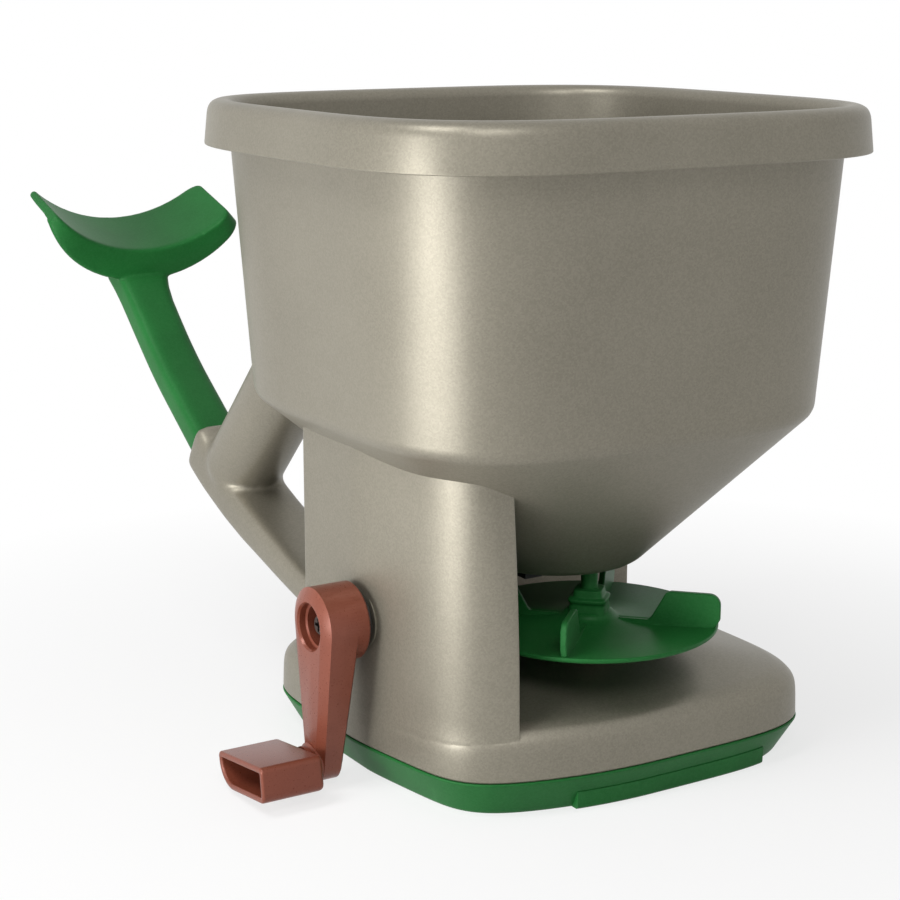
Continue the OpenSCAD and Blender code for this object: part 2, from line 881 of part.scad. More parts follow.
// flanged plain bearing in the column's outer wall
module crank_bush() {
    color(dark)
    translate([0, axis_y, crank_z])
        rotate([0, -90, 0])
            difference() {
                union() {
                    translate([0, 0, bush_in])
                        cylinder(d = crank_d + 5, h = out_x - bush_in + 0.1);
                    translate([0, 0, out_x])
                        cylinder(d = crank_d + 9, h = 1.6);
                }
                translate([0, 0, in_x - 4])
                    cylinder(d = crank_d + 2 * run_play, h = 20);
            }
}

// outline of the crank arm, boss at the origin, pin end below
module arm_outline(r1, r2) {
    a = asin((r1 - r2) / throw);
    circle(r = r1);
    translate([-throw, 0])
        circle(r = r2);
    polygon([[-r1 * sin(a), r1 * cos(a)], [-throw - r2 * sin(a), r2 * cos(a)],
        [-throw - r2 * sin(a), -r2 * cos(a)], [-r1 * sin(a), -r1 * cos(a)]]);
}

// crank arm with a recessed boss at the shaft and a neck at the knob
module crank_arm() {
    color(rust)
    translate([0, axis_y, crank_z])
        rotate([0, -90, 0])
            difference() {
                union() {
                    translate([0, 0, -arm_back])
                        cylinder(r = boss_r, h = boss_t - 1.4);
                    translate([0, 0, -arm_face - 1.4])
                        cylinder(r1 = boss_r, r2 = boss_r - 1.4, h = 1.4);
                    translate([0, 0, -arm_back + 4])
                        linear_extrude(boss_t - 5.4)
                            arm_outline(boss_r, 7);
                    translate([-throw, 0, -arm_face - 2])
                        cylinder(d = 12, h = 5);
                }
                translate([0, 0, -arm_back - 1])
                    cylinder(d = crank_d, h = 3);
                translate([0, 0, -arm_back - 1])
                    cylinder(d = crank_d - 1, h = 8.2, $fn = 6);
                translate([0, 0, -arm_back])
                    cylinder(d = 4.4, h = 12);
                translate([0, 0, -arm_back + 9.2])
                    cylinder(d = 14.3, h = 20);
                translate([-throw, 0, -arm_back + 6])
                    cylinder(d = pin_d, h = 30);
            }
}

module crank_washer() {
    color(dark)
    translate([arm_back - 9.2, axis_y, crank_z])
        rotate([0, -90, 0])
            difference() {
                cylinder(d = 12, h = 1);
                translate([0, 0, -1])
                    cylinder(d = 4.4, h = 3);
            }
}

// cross recess of a screw head at the origin, opening along +Z
module cross_recess(w, h) {
    translate([-w / 2, -w / 8, 0])
        cube([w, w / 4, h]);
    translate([-w / 8, -w / 2, 0])
        cube([w / 4, w, h]);
}

// screw along +Z with its head's seat at the origin and the shank below
module screw(d, length, head, high) {
    difference() {
        union() {
            translate([0, 0, -length + 0.6])
                cylinder(d = d, h = length - 0.6);
            translate([0, 0, -length])
                cylinder(d1 = d * 0.6, d2 = d, h = 0.6);
            cylinder(d = head, h = high * 0.55);
            translate([0, 0, high * 0.55])
                cylinder(d1 = head, d2 = head * 0.7, h = high * 0.45);
        }
        translate([0, 0, high * 0.35])
            cross_recess(head * 0.55, high);
    }
}

module crank_screw() {
    color(dark)
    translate([arm_back - 10.2, axis_y, crank_z])
        rotate([0, -90, 0])
            screw(4, 15.8, 8.6, 3);
}

// outline of the knob: flat top, rounded lower back corner
module knob_outline(g) {
    w = knob_w - 2 * g;
    h = knob_h - 2 * g;
    c = 5 - g;
    difference() {
        translate([-h / 2, -w / 2])
            square([h, w]);
        translate([-h / 2 - 1, w / 2 - c])
            square([c + 1, c + 1]);
        translate([-h / 2 - 1, -w / 2 - 1])
            square([2.6 - g / 2 + 1, 2.6 - g / 2 + 1]);
    }
    translate([-h / 2 + c, w / 2 - c])
        circle(r = c);
    translate([-h / 2 + 2.6 - g / 2, -w / 2 + 2.6 - g / 2])
        circle(r = 2.6 - g / 2);
}

module crank_knob() {
    color(rust)
    translate([knob_x, axis_y, pin_z])
        rotate([-knob_tilt, 0, 0])
            rotate([0, -90, 0])
                difference() {
                    union() {
                        linear_extrude(knob_len)
                            knob_outline(0);
                    }
                    translate([0, 0, knob_base])
                        linear_extrude(knob_len)
                            knob_outline(2);
                    translate([0, 0, -1])
                        cylinder(d = pin_d + 2 * run_play, h = 20);
                }
}

// pin fixed in the arm that the knob turns on, with a head inside the knob
module knob_pin() {
    color(steel)
    translate([0, axis_y, pin_z])
        rotate([0, -90, 0]) {
            translate([0, 0, -arm_back + 6])
                cylinder(d = pin_d, h = -knob_x + knob_base + 1 + arm_back - 6);
            translate([0, 0, -knob_x + knob_base + move_gap])
                cylinder(d = pin_d + 1.6, h = 2);
        }
}

// rails that hold the gate under the spout floor
module gate_guide() {
    color(dark)
    difference() {
        translate([-gate_half - 5, -25, gate_z - 1.2])
            cube([2 * gate_half + 10, 32, spout_z - gate_z + 1.2]);
        translate([-gate_half - move_gap, -23.4, gate_z - move_gap])
            cube([2 * gate_half + 2 * move_gap, 60, gate_t + 2 * move_gap]);
        translate([-gate_half + 2, -30, gate_z - 5])
            cube([2 * gate_half - 4, 60, 20]);
        for (p = guide_spots()) {
            translate([p[0], p[1], gate_z - 5])
                cylinder(d = 2, h = 20);
        }
    }
}

// sliding gate with a narrow tongue and a thumb tab at the back
module gate_plate() {
    color(green)
    difference() {
        union() {
            translate([-gate_half, -23, gate_z])
                cube([2 * gate_half, gate_end + 23, gate_t]);
            translate([-gate_half + 3, gate_end - 1, gate_z])
                cube([2 * gate_half - 6, 46 - gate_end, gate_t]);
            translate([-gate_half + 1, 45, gate_z])
                cube([2 * gate_half - 2, 3, 12]);
        }
        translate([0, 34, gate_z - 1])
            cylinder(d = 8, h = 6);
    }
}

module base_screws() {
    color(steel)
    for (p = base_spots)
        translate([p[0], p[1], 5])
            rotate([180, 0, 0])
                screw(screw_d, 17, 6.2, 2.4);
}

module hopper_screws() {
    color(steel)
    for (p = hopper_spots)
        translate([p[0], p[1], shelf_z])
            rotate([180, 0, 0])
                screw(screw_d, 9, 6, 2);
}

module handle_screws() {
    color(steel)
    for (x = handle_spots())
        translate([x, column_back - wall, strut_z()])
            rotate([90, 0, 0])
                screw(screw_d, 13, 6, 2);
}

module cradle_screws() {
    color(steel)
    for (p = cradle_spots())
        translate([p[0], p[1], plate_floor + 3])
            screw(2.6, 4.6, 5, 1.8);
}

module rest_screw() {
    color(steel)
    at_mouth()
        translate([stem_w / 2 + 2, 0, -12])
            rotate([0, 90, 0])
                screw(screw_d, 20, 5.8, 1.4);
}

module guide_screws() {
    color(steel)
    for (p = guide_spots())
        translate([p[0], p[1], gate_z - 1.2])
            rotate([180, 0, 0])
                screw(2, 6, 3.6, 0.7);
}

hopper();
housing();
base_plate();
handle();
forearm_rest();
impeller();
impeller_shaft();
impeller_bush();
agitator();
bevel_pinion();
bevel_gear();
lay_shaft();
lay_pinion();
lay_bushes();
gear_cradle();
drive_gear();
crank_shaft();
crank_bush();
crank_arm();
crank_washer();
crank_screw();
crank_knob();
knob_pin();
gate_guide();
gate_plate();
base_screws();
hopper_screws();
handle_screws();
cradle_screws();
rest_screw();
guide_screws();
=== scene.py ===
import json
import math

import bmesh
import bpy
import numpy as np
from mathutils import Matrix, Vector


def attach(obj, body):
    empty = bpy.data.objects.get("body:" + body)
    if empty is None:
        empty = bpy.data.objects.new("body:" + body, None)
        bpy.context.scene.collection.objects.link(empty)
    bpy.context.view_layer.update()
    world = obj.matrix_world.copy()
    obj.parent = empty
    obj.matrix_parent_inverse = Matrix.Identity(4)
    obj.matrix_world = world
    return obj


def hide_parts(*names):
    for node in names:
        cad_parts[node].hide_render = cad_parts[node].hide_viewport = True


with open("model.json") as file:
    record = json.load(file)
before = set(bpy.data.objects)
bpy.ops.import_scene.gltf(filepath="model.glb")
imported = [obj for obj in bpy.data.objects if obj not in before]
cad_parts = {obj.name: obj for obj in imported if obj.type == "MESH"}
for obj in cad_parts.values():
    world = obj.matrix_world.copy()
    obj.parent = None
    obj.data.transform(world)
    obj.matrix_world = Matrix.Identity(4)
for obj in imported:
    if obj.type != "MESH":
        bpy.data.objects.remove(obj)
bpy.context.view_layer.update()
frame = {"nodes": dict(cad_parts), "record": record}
nodes = frame["nodes"]
mm = 0.001
print("frame loaded:", len(nodes), "nodes")


# mesh helpers, all sizes in mm until the mesh is made

def link(name, mesh):
    piece = bpy.data.objects.new(name, mesh)
    bpy.context.scene.collection.objects.link(piece)
    return piece


def pieceFrom(name, points, faces):
    mesh = bpy.data.meshes.new(name)
    mesh.from_pydata([tuple(p) for p in np.asarray(points) * mm], [], faces)
    piece = link(name, mesh)
    mergeUp(piece, recalc=True)
    return piece


def mergeUp(piece, recalc=False):
    work = bmesh.new()
    work.from_mesh(piece.data)
    bmesh.ops.remove_doubles(work, verts=work.verts, dist=2e-6)
    if recalc:
        bmesh.ops.recalc_face_normals(work, faces=work.faces)
    work.to_mesh(piece.data)
    work.free()


def settle(piece):
    # modifiers become a plain mesh
    graph = bpy.context.evaluated_depsgraph_get()
    made = bpy.data.meshes.new_from_object(piece.evaluated_get(graph), depsgraph=graph)
    piece.modifiers.clear()
    piece.data = made
    made.name = piece.name
    return piece


def drop(*pieces):
    for piece in pieces:
        bpy.data.objects.remove(piece)


def combine(piece, tool, operation):
    cut = piece.modifiers.new("combine", "BOOLEAN")
    cut.operation = operation
    cut.solver = "MANIFOLD"
    cut.object = tool
    settle(piece)
    drop(tool)
    return piece


def shade(piece, angle=32):
    piece.data.shade_smooth()
    piece.data.set_sharp_from_angle(angle=math.radians(angle))
    return piece


def softEdges(piece, width, steps=2, angle=35):
    bevel = piece.modifiers.new("edges", "BEVEL")
    bevel.width = width * mm
    bevel.segments = steps
    bevel.limit_method = "ANGLE"
    bevel.angle_limit = math.radians(angle)
    bevel.use_clamp_overlap = True
    return settle(piece)


def loft(name, rings, closed=False):
    count = len(rings[0])
    rows = len(rings)
    faces = []
    for j in range(rows if closed else rows - 1):
        low, high = j * count, (j + 1) % rows * count
        for i in range(count):
            k = (i + 1) % count
            faces.append((low + i, low + k, high + k, high + i))
    if not closed:
        faces.append(tuple(range(count - 1, -1, -1)))
        faces.append(tuple((rows - 1) * count + i for i in range(count)))
    return pieceFrom(name, np.concatenate(rings), faces)


def roundRings(rings, soft, steps=6):
    # each inner ring of the stack turns into a small arc
    made = [rings[0]]
    for before, here, after, reach in zip(rings, rings[1:], rings[2:], soft[1:]):
        if reach <= 0:
            made.append(here)
            continue
        back, ahead = before - here, after - here
        a = here + back * np.minimum(reach / np.linalg.norm(back, axis=1), 0.48)[:, None]
        b = here + ahead * np.minimum(reach / np.linalg.norm(ahead, axis=1), 0.48)[:, None]
        for t in np.linspace(0, 1, steps + 1):
            made.append((1 - t) ** 2 * a + 2 * t * (1 - t) * here + t * t * b)
    made.append(rings[-1])
    return made


def squareRing(half, power, lead, z, count=192, turn=0.0, middle=0.0):
    t = np.linspace(0, 2 * math.pi, count, endpoint=False)
    r = half / (np.abs(np.cos(t)) ** power + np.abs(np.sin(t)) ** power) ** (1 / power)
    x, y = r * np.cos(t + turn), r * np.sin(t + turn)
    return np.stack([x + middle, y - lead, np.full(count, float(z))], axis=1)


def spread(outline, count, pull=3.0):
    # points along a closed outline, closer together where it turns
    ahead = np.roll(outline, -1, axis=0) - outline
    heading = np.arctan2(ahead[:, 1], ahead[:, 0])
    turn = np.abs((np.roll(heading, -1) - heading + math.pi) % (2 * math.pi) - math.pi)
    along = np.concatenate([[0], np.cumsum(np.linalg.norm(ahead, axis=1) + pull * turn)])
    wanted = np.linspace(0, along[-1], count, endpoint=False)
    loop = np.vstack([outline, outline[:1]])
    return np.stack([np.interp(wanted, along, loop[:, k]) for k in range(2)], axis=1)


def barRing(middle, up, wide, high, power, count=96):
    # rounded section across X and up
    t = np.linspace(0, 2 * math.pi, count, endpoint=False)
    r = 1 / (np.abs(np.cos(t)) ** power + np.abs(np.sin(t)) ** power) ** (1 / power)
    return np.array(middle) + np.outer(wide * r * np.cos(t), (1, 0, 0)) + np.outer(high * r * np.sin(t), up)


def alongX(rings):
    # a stack that was laid out along Z turns to run along -X
    return [np.stack([-r[:, 2], r[:, 1], r[:, 0]], axis=1) for r in rings]


def rod(name, radius, low, high, x=0.0, y=0.0, count=48):
    return loft(name, [squareRing(radius, 2, -y, z, count, middle=x) for z in (low, high)])


def crossRod(name, radius, near, far, y, z, count=48):
    # rod along X
    return loft(name, alongX([squareRing(radius, 2, -y, -x, count, middle=z) for x in (near, far)]))


def blockOf(name, west, east, south, north, low, high):
    corners = np.array([(west, south), (east, south), (east, north), (west, north)], float)
    return loft(name, [np.column_stack([corners, np.full(4, float(z))]) for z in (low, high)])


def moulded(piece, voxel, passes):
    # joined forms flow into each other like one moulding
    skin = piece.modifiers.new("skin", "REMESH")
    skin.mode = "VOXEL"
    skin.voxel_size = voxel * mm
    soften = piece.modifiers.new("soften", "SMOOTH")
    soften.factor = 0.5
    soften.iterations = passes
    settle(piece)
    piece.data.shade_smooth()
    return piece


def fit(piece, body, finish, slot, *standsFor):
    piece.data.materials.clear()
    piece.data.materials.append(finish)
    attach(piece, body)
    if standsFor:
        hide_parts(*standsFor)
    print("fitted", piece.name, len(piece.data.polygons), "faces")
    return piece


# shader groups

def shaderGroup(name, inputs, outputs):
    tree = bpy.data.node_groups.new(name, "ShaderNodeTree")
    for label, value in inputs.items():
        socket = tree.interface.new_socket(label, in_out="INPUT", socket_type="NodeSocketFloat")
        socket.default_value = value
    for label in outputs:
        tree.interface.new_socket(label, in_out="OUTPUT", socket_type="NodeSocketFloat")
    return tree, tree.nodes.new("NodeGroupInput"), tree.nodes.new("NodeGroupOutput")


def perSize(tree, size):
    # texture scale for a feature size
    scale = tree.nodes.new("ShaderNodeMath")
    scale.operation = "DIVIDE"
    scale.inputs[0].default_value = 1.0
    tree.links.new(size, scale.inputs[1])
    return scale.outputs[0]


def mouldGrain():
    sizes = {"Grain Size": 0.0006, "Mottle Size": 0.04, "Flake Size": 0.0005}
    tree, given, made = shaderGroup("mouldGrain", sizes, ["Grain", "Mottle", "Flake"])
    place = tree.nodes.new("ShaderNodeTexCoord").outputs["Object"]
    for output, detail in (("Grain", 3.0), ("Mottle", 4.0)):
        noise = tree.nodes.new("ShaderNodeTexNoise")
        noise.inputs["Detail"].default_value = detail
        tree.links.new(place, noise.inputs["Vector"])
        tree.links.new(perSize(tree, given.outputs[output + " Size"]), noise.inputs["Scale"])
        tree.links.new(noise.outputs["Fac"], made.inputs[output])
    cells = tree.nodes.new("ShaderNodeTexVoronoi")
    parts = tree.nodes.new("ShaderNodeSeparateColor")
    tree.links.new(place, cells.inputs["Vector"])
    tree.links.new(perSize(tree, given.outputs["Flake Size"]), cells.inputs["Scale"])
    tree.links.new(cells.outputs["Color"], parts.inputs[0])
    tree.links.new(parts.outputs[0], made.inputs["Flake"])
    return tree


# sharp edges picked out by Pointiness and broken up by noise: partly wear, partly a painted edge highlight
def edgeWear():
    sizes = {"Start": 0.52, "Full": 0.62, "Break Size": 0.004}
    tree, given, made = shaderGroup("edgeWear", sizes, ["Mask"])
    place = tree.nodes.new("ShaderNodeTexCoord").outputs["Object"]
    shape = tree.nodes.new("ShaderNodeNewGeometry")
    ramp = tree.nodes.new("ShaderNodeMapRange")
    noise = tree.nodes.new("ShaderNodeTexNoise")
    both = tree.nodes.new("ShaderNodeMath")
    both.operation = "MULTIPLY"
    tree.links.new(shape.outputs["Pointiness"], ramp.inputs["Value"])
    tree.links.new(given.outputs["Start"], ramp.inputs["From Min"])
    tree.links.new(given.outputs["Full"], ramp.inputs["From Max"])
    tree.links.new(perSize(tree, given.outputs["Break Size"]), noise.inputs["Scale"])
    tree.links.new(place, noise.inputs["Vector"])
    tree.links.new(ramp.outputs["Result"], both.inputs[0])
    tree.links.new(noise.outputs["Fac"], both.inputs[1])
    tree.links.new(both.outputs[0], made.inputs["Mask"])
    return tree


grainGroup = mouldGrain()
wearSheenGroup = edgeWear()


def mixColour(tree, factor, low, high):
    mix = tree.nodes.new("ShaderNodeMix")
    mix.data_type = "RGBA"
    for socket, value in ((mix.inputs[0], factor), (mix.inputs[6], low), (mix.inputs[7], high)):
        if hasattr(value, "is_output"):
            tree.links.new(value, socket)
        else:
            socket.default_value = value if isinstance(value, float) else (*value, 1.0)
    return mix.outputs[2]


def mapValue(tree, value, low, high):
    ramp = tree.nodes.new("ShaderNodeMapRange")
    ramp.inputs["To Min"].default_value = low
    ramp.inputs["To Max"].default_value = high
    tree.links.new(value, ramp.inputs["Value"])
    return ramp.outputs["Result"]


def finishOf(name, look):
    material = bpy.data.materials.new(name)
    material.use_nodes = True
    tree = material.node_tree
    shader = tree.nodes["Principled BSDF"]
    grain = tree.nodes.new("ShaderNodeGroup")
    grain.node_tree = grainGroup
    for label in ("Grain Size", "Mottle Size", "Flake Size"):
        grain.inputs[label].default_value = look[label]
    mottle = mapValue(tree, grain.outputs["Mottle"], -0.35, 1.35)
    colour = mixColour(tree, mottle, look["deep"], look["pale"])
    # pale flake specks mixed towards the glint colour: pearl flakes with their sparkle painted in as a
    # painted glint
    flake = mapValue(tree, grain.outputs["Flake"], 0.0, look["flake"])
    colour = mixColour(tree, flake, colour, look["glint"])
    # edges mixed towards the glint colour: partly wear, partly a painted highlight on the edges
    if look["wear"] > 0:
        wearSheenNode = tree.nodes.new("ShaderNodeGroup")
        wearSheenNode.node_tree = wearSheenGroup
        wearSheenShare = mapValue(tree, wearSheenNode.outputs["Mask"], 0.0, look["wear"])
        colour = mixColour(tree, wearSheenShare, colour, look["glint"])
    tree.links.new(colour, shader.inputs["Base Color"])
    tree.links.new(mapValue(tree, grain.outputs["Grain"], *look["rough"]), shader.inputs["Roughness"])
    bump = tree.nodes.new("ShaderNodeBump")
    bump.inputs["Strength"].default_value = look["bump"]
    bump.inputs["Distance"].default_value = 0.0002
    tree.links.new(grain.outputs["Grain"], bump.inputs["Height"])
    tree.links.new(bump.outputs["Normal"], shader.inputs["Normal"])
    shader.inputs["Metallic"].default_value = look["metallic"]
    shader.inputs["Specular IOR Level"].default_value = look["specular"]
    return material


taupePearl = finishOf("taupePearl", {
    "deep": (0.185, 0.170, 0.131), "pale": (0.225, 0.207, 0.162), "glint": (0.46, 0.43, 0.36), "flake": 0.14,
    "Grain Size": 0.0007, "Mottle Size": 0.05, "Flake Size": 0.00055,
    "rough": (0.38, 0.45), "bump": 0.08, "metallic": 0.55, "specular": 0.5, "wear": 0.12})
leafGreen = finishOf("leafGreen", {
    "deep": (0.008, 0.095, 0.018), "pale": (0.013, 0.135, 0.027), "glint": (0.1, 0.36, 0.13), "flake": 0.06,
    "Grain Size": 0.0006, "Mottle Size": 0.03, "Flake Size": 0.0006,
    "rough": (0.4, 0.52), "bump": 0.1, "metallic": 0.0, "specular": 0.15, "wear": 0.2})
rustCopper = finishOf("rustCopper", {
    "deep": (0.155, 0.038, 0.02), "pale": (0.195, 0.05, 0.027), "glint": (0.4, 0.16, 0.11), "flake": 0.05,
    "Grain Size": 0.0006, "Mottle Size": 0.02, "Flake Size": 0.0005,
    "rough": (0.24, 0.34), "bump": 0.07, "metallic": 0.2, "specular": 0.4, "wear": 0.3})
creamNylon = finishOf("creamNylon", {
    "deep": (0.68, 0.64, 0.54), "pale": (0.78, 0.75, 0.66), "glint": (0.9, 0.88, 0.82), "flake": 0.05,
    "Grain Size": 0.0005, "Mottle Size": 0.008, "Flake Size": 0.0008,
    "rough": (0.38, 0.52), "bump": 0.06, "metallic": 0.0, "specular": 0.5, "wear": 0.0})
blackAcetal = finishOf("blackAcetal", {
    "deep": (0.012, 0.012, 0.013), "pale": (0.03, 0.03, 0.032), "glint": (0.12, 0.12, 0.13), "flake": 0.06,
    "Grain Size": 0.0005, "Mottle Size": 0.01, "Flake Size": 0.0008,
    "rough": (0.3, 0.46), "bump": 0.06, "metallic": 0.0, "specular": 0.5, "wear": 0.0})
zincSteel = finishOf("zincSteel", {
    "deep": (0.46, 0.47, 0.49), "pale": (0.62, 0.63, 0.65), "glint": (0.85, 0.85, 0.86), "flake": 0.2,
    "Grain Size": 0.0003, "Mottle Size": 0.004, "Flake Size": 0.0006,
    "rough": (0.22, 0.4), "bump": 0.05, "metallic": 1.0, "specular": 0.5, "wear": 0.0})
darkSteel = finishOf("darkSteel", {
    "deep": (0.05, 0.042, 0.038), "pale": (0.1, 0.085, 0.075), "glint": (0.3, 0.27, 0.25), "flake": 0.12,
    "Grain Size": 0.0003, "Mottle Size": 0.004, "Flake Size": 0.0006,
    "rough": (0.34, 0.5), "bump": 0.05, "metallic": 0.9, "specular": 0.5, "wear": 0.0})
print("finishes made")


# hopper: square bin with a turned down rim, funnel and round spout
hopper = {"rimHalf": 100, "rimTop": 231, "lipDrop": 16.5, "lipPower": 3.85, "wallHalf": 92, "wallPower": 4.0,
          "bendHalf": 85.2, "bendZ": 124.6, "bendPower": 4.12, "spoutR": 30.8, "spoutLead": 18, "spoutZ": 70,
          "wall": 2.6, "outletR": 9, "outletY": -10, "shaftR": 3.4, "shaftY": -40}


def makeHopper(s):
    lipZ = s["rimTop"] - s["lipDrop"]
    rim, top, lip, lead = s["rimHalf"], s["rimTop"], s["lipPower"], s["spoutLead"]
    inner = s["wallHalf"] - s["wall"]
    corners = [
        (squareRing(s["spoutR"] - 4.8, 2, lead, s["spoutZ"]), 0),
        (squareRing(s["spoutR"], 2, lead, s["spoutZ"] + 1.4), 2.2),
        (squareRing(s["bendHalf"], s["bendPower"], 0, s["bendZ"]), 3.2),
        (squareRing(s["wallHalf"], s["wallPower"], 0, top - 5), 1),
        (squareRing(rim - 4.4, lip, 0, top - 4.6), 1),
        (squareRing(rim - 2.4, lip, 0, lipZ), 0.6),
        (squareRing(rim - 0.05, lip, 0, lipZ), 0.7),
        (squareRing(rim - 1.4, lip, 0, top - 2.2), 3.4),
        (squareRing(rim - 5.4, lip, 0, top), 2.6),
        (squareRing(inner + 0.8, s["wallPower"], 0, top - 1.6), 3),
        (squareRing(s["bendHalf"] - 2.4, s["bendPower"], 0, s["bendZ"] + 3.4), 9),
        (squareRing(s["spoutR"] - 3.6, 2, lead, s["spoutZ"] + 4), 1.6),
        (squareRing(s["spoutR"] - 7.4, 2, lead, s["spoutZ"] + s["wall"]), 0)]
    piece = loft("hopper_shell", roundRings([c[0] for c in corners], [c[1] for c in corners]))
    for radius, y in ((s["outletR"], s["outletY"]), (s["shaftR"], s["shaftY"])):
        combine(piece, rod("bore", radius, s["spoutZ"] - 3, s["spoutZ"] + 12, y=y), "DIFFERENCE")
    return shade(piece, 34)


fit(makeHopper(hopper), "body", taupePearl, "taupe_plastic", "hopper")


def hopperCore(s, sink=1.2):
    # the hopper's outside drawn in a little: what meets the hopper is trimmed to it
    lead = s["spoutLead"]
    rise = (s["wallHalf"] - s["bendHalf"]) / (s["rimTop"] - 5 - s["bendZ"])
    rings = [squareRing(s["spoutR"] - 6, 2, lead, s["spoutZ"] + sink),
             squareRing(s["spoutR"] - sink, 2, lead, s["spoutZ"] + 1.4 + sink),
             squareRing(s["bendHalf"] - sink, s["bendPower"], 0, s["bendZ"] + 0.6),
             squareRing(s["bendHalf"] - sink + 40 * rise, s["wallPower"], 0, s["bendZ"] + 40)]
    return loft("core", rings)


# housing: low deck with a skirt, gear column on the crank side, ribbed wall behind the spinner
housing = {"half": 79, "deep": 74, "shift": -8, "wall": 2.8,
           "rearPower": 6, "nearPower": 10, "farPower": 5.2,
           "toeIn": (0.167, 0.0), "toeSoft": 8, "bow": (334, 9999),
           "deckOut": [(0.990, 13.0, 0), (0.9975, 13.6, 0.3), (0.9935, 24, 4), (0.983, 27, 1.4),
                       (0.955, 29.6, 1.4), (0.91, 31.4, 1.6), (0.78, 34, 5), (0.58, 37.9, 6),
                       (0.36, 41.5, 6), (0.12, 43.5, 0)],
           "deckIn": [(0.96, 11), (0.955, 21.2), (0.94, 24.2), (0.90, 26.8), (0.85, 28.6),
                      (0.74, 31.2), (0.56, 35.1), (0.35, 38.7), (0.12, 40.7)],
           "columnMiddle": (-63, -10), "inner": 49.5, "back": 26.4, "front": 74.55,
           "lean": 5, "leanZ": 30, "skin": (0.989, 0.968), "flush": 0.003,
           "foot": 0.012, "footZ": 26, "footTop": 34, "shelf": (92.5, 95.5), "top": 134,
           "wallY": 23.3, "wallEnd": 64, "wallThick": 3, "ribs": (26, -22),
           "posts": [(-45, -60), (54, -60), (-64, 14), (64, 14), (-42, 48), (42, 48)],
           "postR": 4.5, "postZ": (13.05, 31.2), "slot": (9.4, (10, 70), (66.2, 68.8)),
           "crankAt": (-13, 58), "layAt": (-40, 22), "spinAt": (0, -40),
           "crankSeats": [(9, -50.5, -57.1), (10.5, -73.1, -77)], "laySeats": [(8, -66.3, -72.6)],
           "crankBores": [(7.5, -84, -71), (5.05, -50.7, -60)], "layBores": [(5.5, -70.9, -60)],
           "spinCollar": (8.5, 37.2, 45.5), "spinBores": [(5.5, 30, 60), (6.7, 30, 37.4)]}


def baseReach(s, t):
    # sides that toe in towards a bowed front, tight front corners, square back
    c, d = np.cos(t), np.sin(t)
    rear = s["rearPower"]
    back = ((np.abs(c) / s["half"]) ** rear + (np.abs(d) / s["deep"]) ** rear) ** (-1 / rear)
    power = np.where(c < 0, s["nearPower"], s["farPower"])
    low, high = np.full(np.shape(t), 10.0), np.full(np.shape(t), 120.0)
    for halving in range(36):
        r = (low + high) / 2
        ahead = np.maximum(-r * d, 0)
        toe = np.where(c < 0, *s["toeIn"]) * ahead ** 2 / (ahead + s["toeSoft"])
        side = np.abs(r * c) / (s["half"] - toe)
        front = ahead / (s["deep"] - (r * c) ** 2 / np.where(c < 0, *s["bow"]))
        within = side ** power + front ** power < 1
        low, high = np.where(within, r, low), np.where(within, high, r)
    return np.where(d > 0, back, low)


def baseRing(s, scale, z, count=240):
    t = np.linspace(0, 2 * math.pi, 1440, endpoint=False) + math.pi / 4
    r = baseReach(s, t)
    flat = scale * spread(np.stack([r * np.cos(t), r * np.sin(t)], axis=1), count, 20)
    return np.column_stack([flat + (0, s["shift"]), np.full(count, float(z))])


def softBase(s, table, steps):
    # rounded stack of base outlines from rows of scale, height and rounding
    return roundRings([baseRing(s, scale, z) for scale, z, soft in table], [row[2] for row in table], steps)


def columnRing(s, z, scale, inset=0.0, crisp=55, count=300):
    # the base's outline between the inner side, the back and the leaning front
    t = np.linspace(0, 2 * math.pi, 1440, endpoint=False)
    way = np.stack([np.cos(t), np.sin(t)], axis=1)
    start = np.array(s["columnMiddle"], float)
    turns = np.linspace(-math.pi, math.pi, 2881)
    table = baseReach(s, turns)
    low, high = np.zeros(len(t)), np.full(len(t), 250.0)
    for halving in range(40):
        reach = (low + high) / 2
        spot = (start + way * reach[:, None] - (0, s["shift"])) / scale
        heading = np.arctan2(spot[:, 1], spot[:, 0])
        within = np.hypot(spot[:, 0], spot[:, 1]) < np.interp(heading, turns, table)
        low, high = np.where(within, reach, low), np.where(within, high, reach)
    lean = max(z - s["leanZ"], 0) * math.tan(math.radians(s["lean"]))
    total = low ** -crisp
    for side, limit in (((1, 0), -s["inner"]), ((0, 1), s["back"]), ((0, -1), s["front"] - lean)):
        along = way @ side
        gap = limit - inset - start @ side
        total = total + np.where(along > 0.002, gap / np.maximum(along, 0.002), 1e4) ** -crisp
    flat = spread(start + way * (total ** (-1 / crisp))[:, None], count)
    return np.column_stack([flat, np.full(count, float(z))])


def makeColumn(s):
    rings = []
    for z in (18, 24, *np.linspace(s["footZ"], s["footTop"], 9), *np.linspace(40, s["top"], 14)):
        foot = 1 - min(max((z - s["footZ"]) / (s["footTop"] - s["footZ"]), 0), 1)
        rings.append(columnRing(s, z, np.array(s["skin"]) + np.array([s["flush"], s["foot"]]) * foot ** 2))
    return loft("column", rings)


def makeRearWall(s):
    y, end, thick = s["wallY"], s["wallEnd"], s["wallThick"]
    outline = [(-s["inner"] - 1, y), (end, y), (end, y + 13), (end - thick, y + 13), (end - thick, y + thick)]
    for x in s["ribs"]:
        outline += [(x, y + thick), (x, y + 11), (x - thick, y + 11), (x - thick, y + thick)]
    outline = np.array(outline + [(-s["inner"] - 1, y + thick)], float)
    levels = [np.column_stack([outline, np.full(len(outline), float(z))]) for z in (26, 130)]
    wall = loft("rear_wall", levels)
    return softEdges(wall, 0.6, 3)


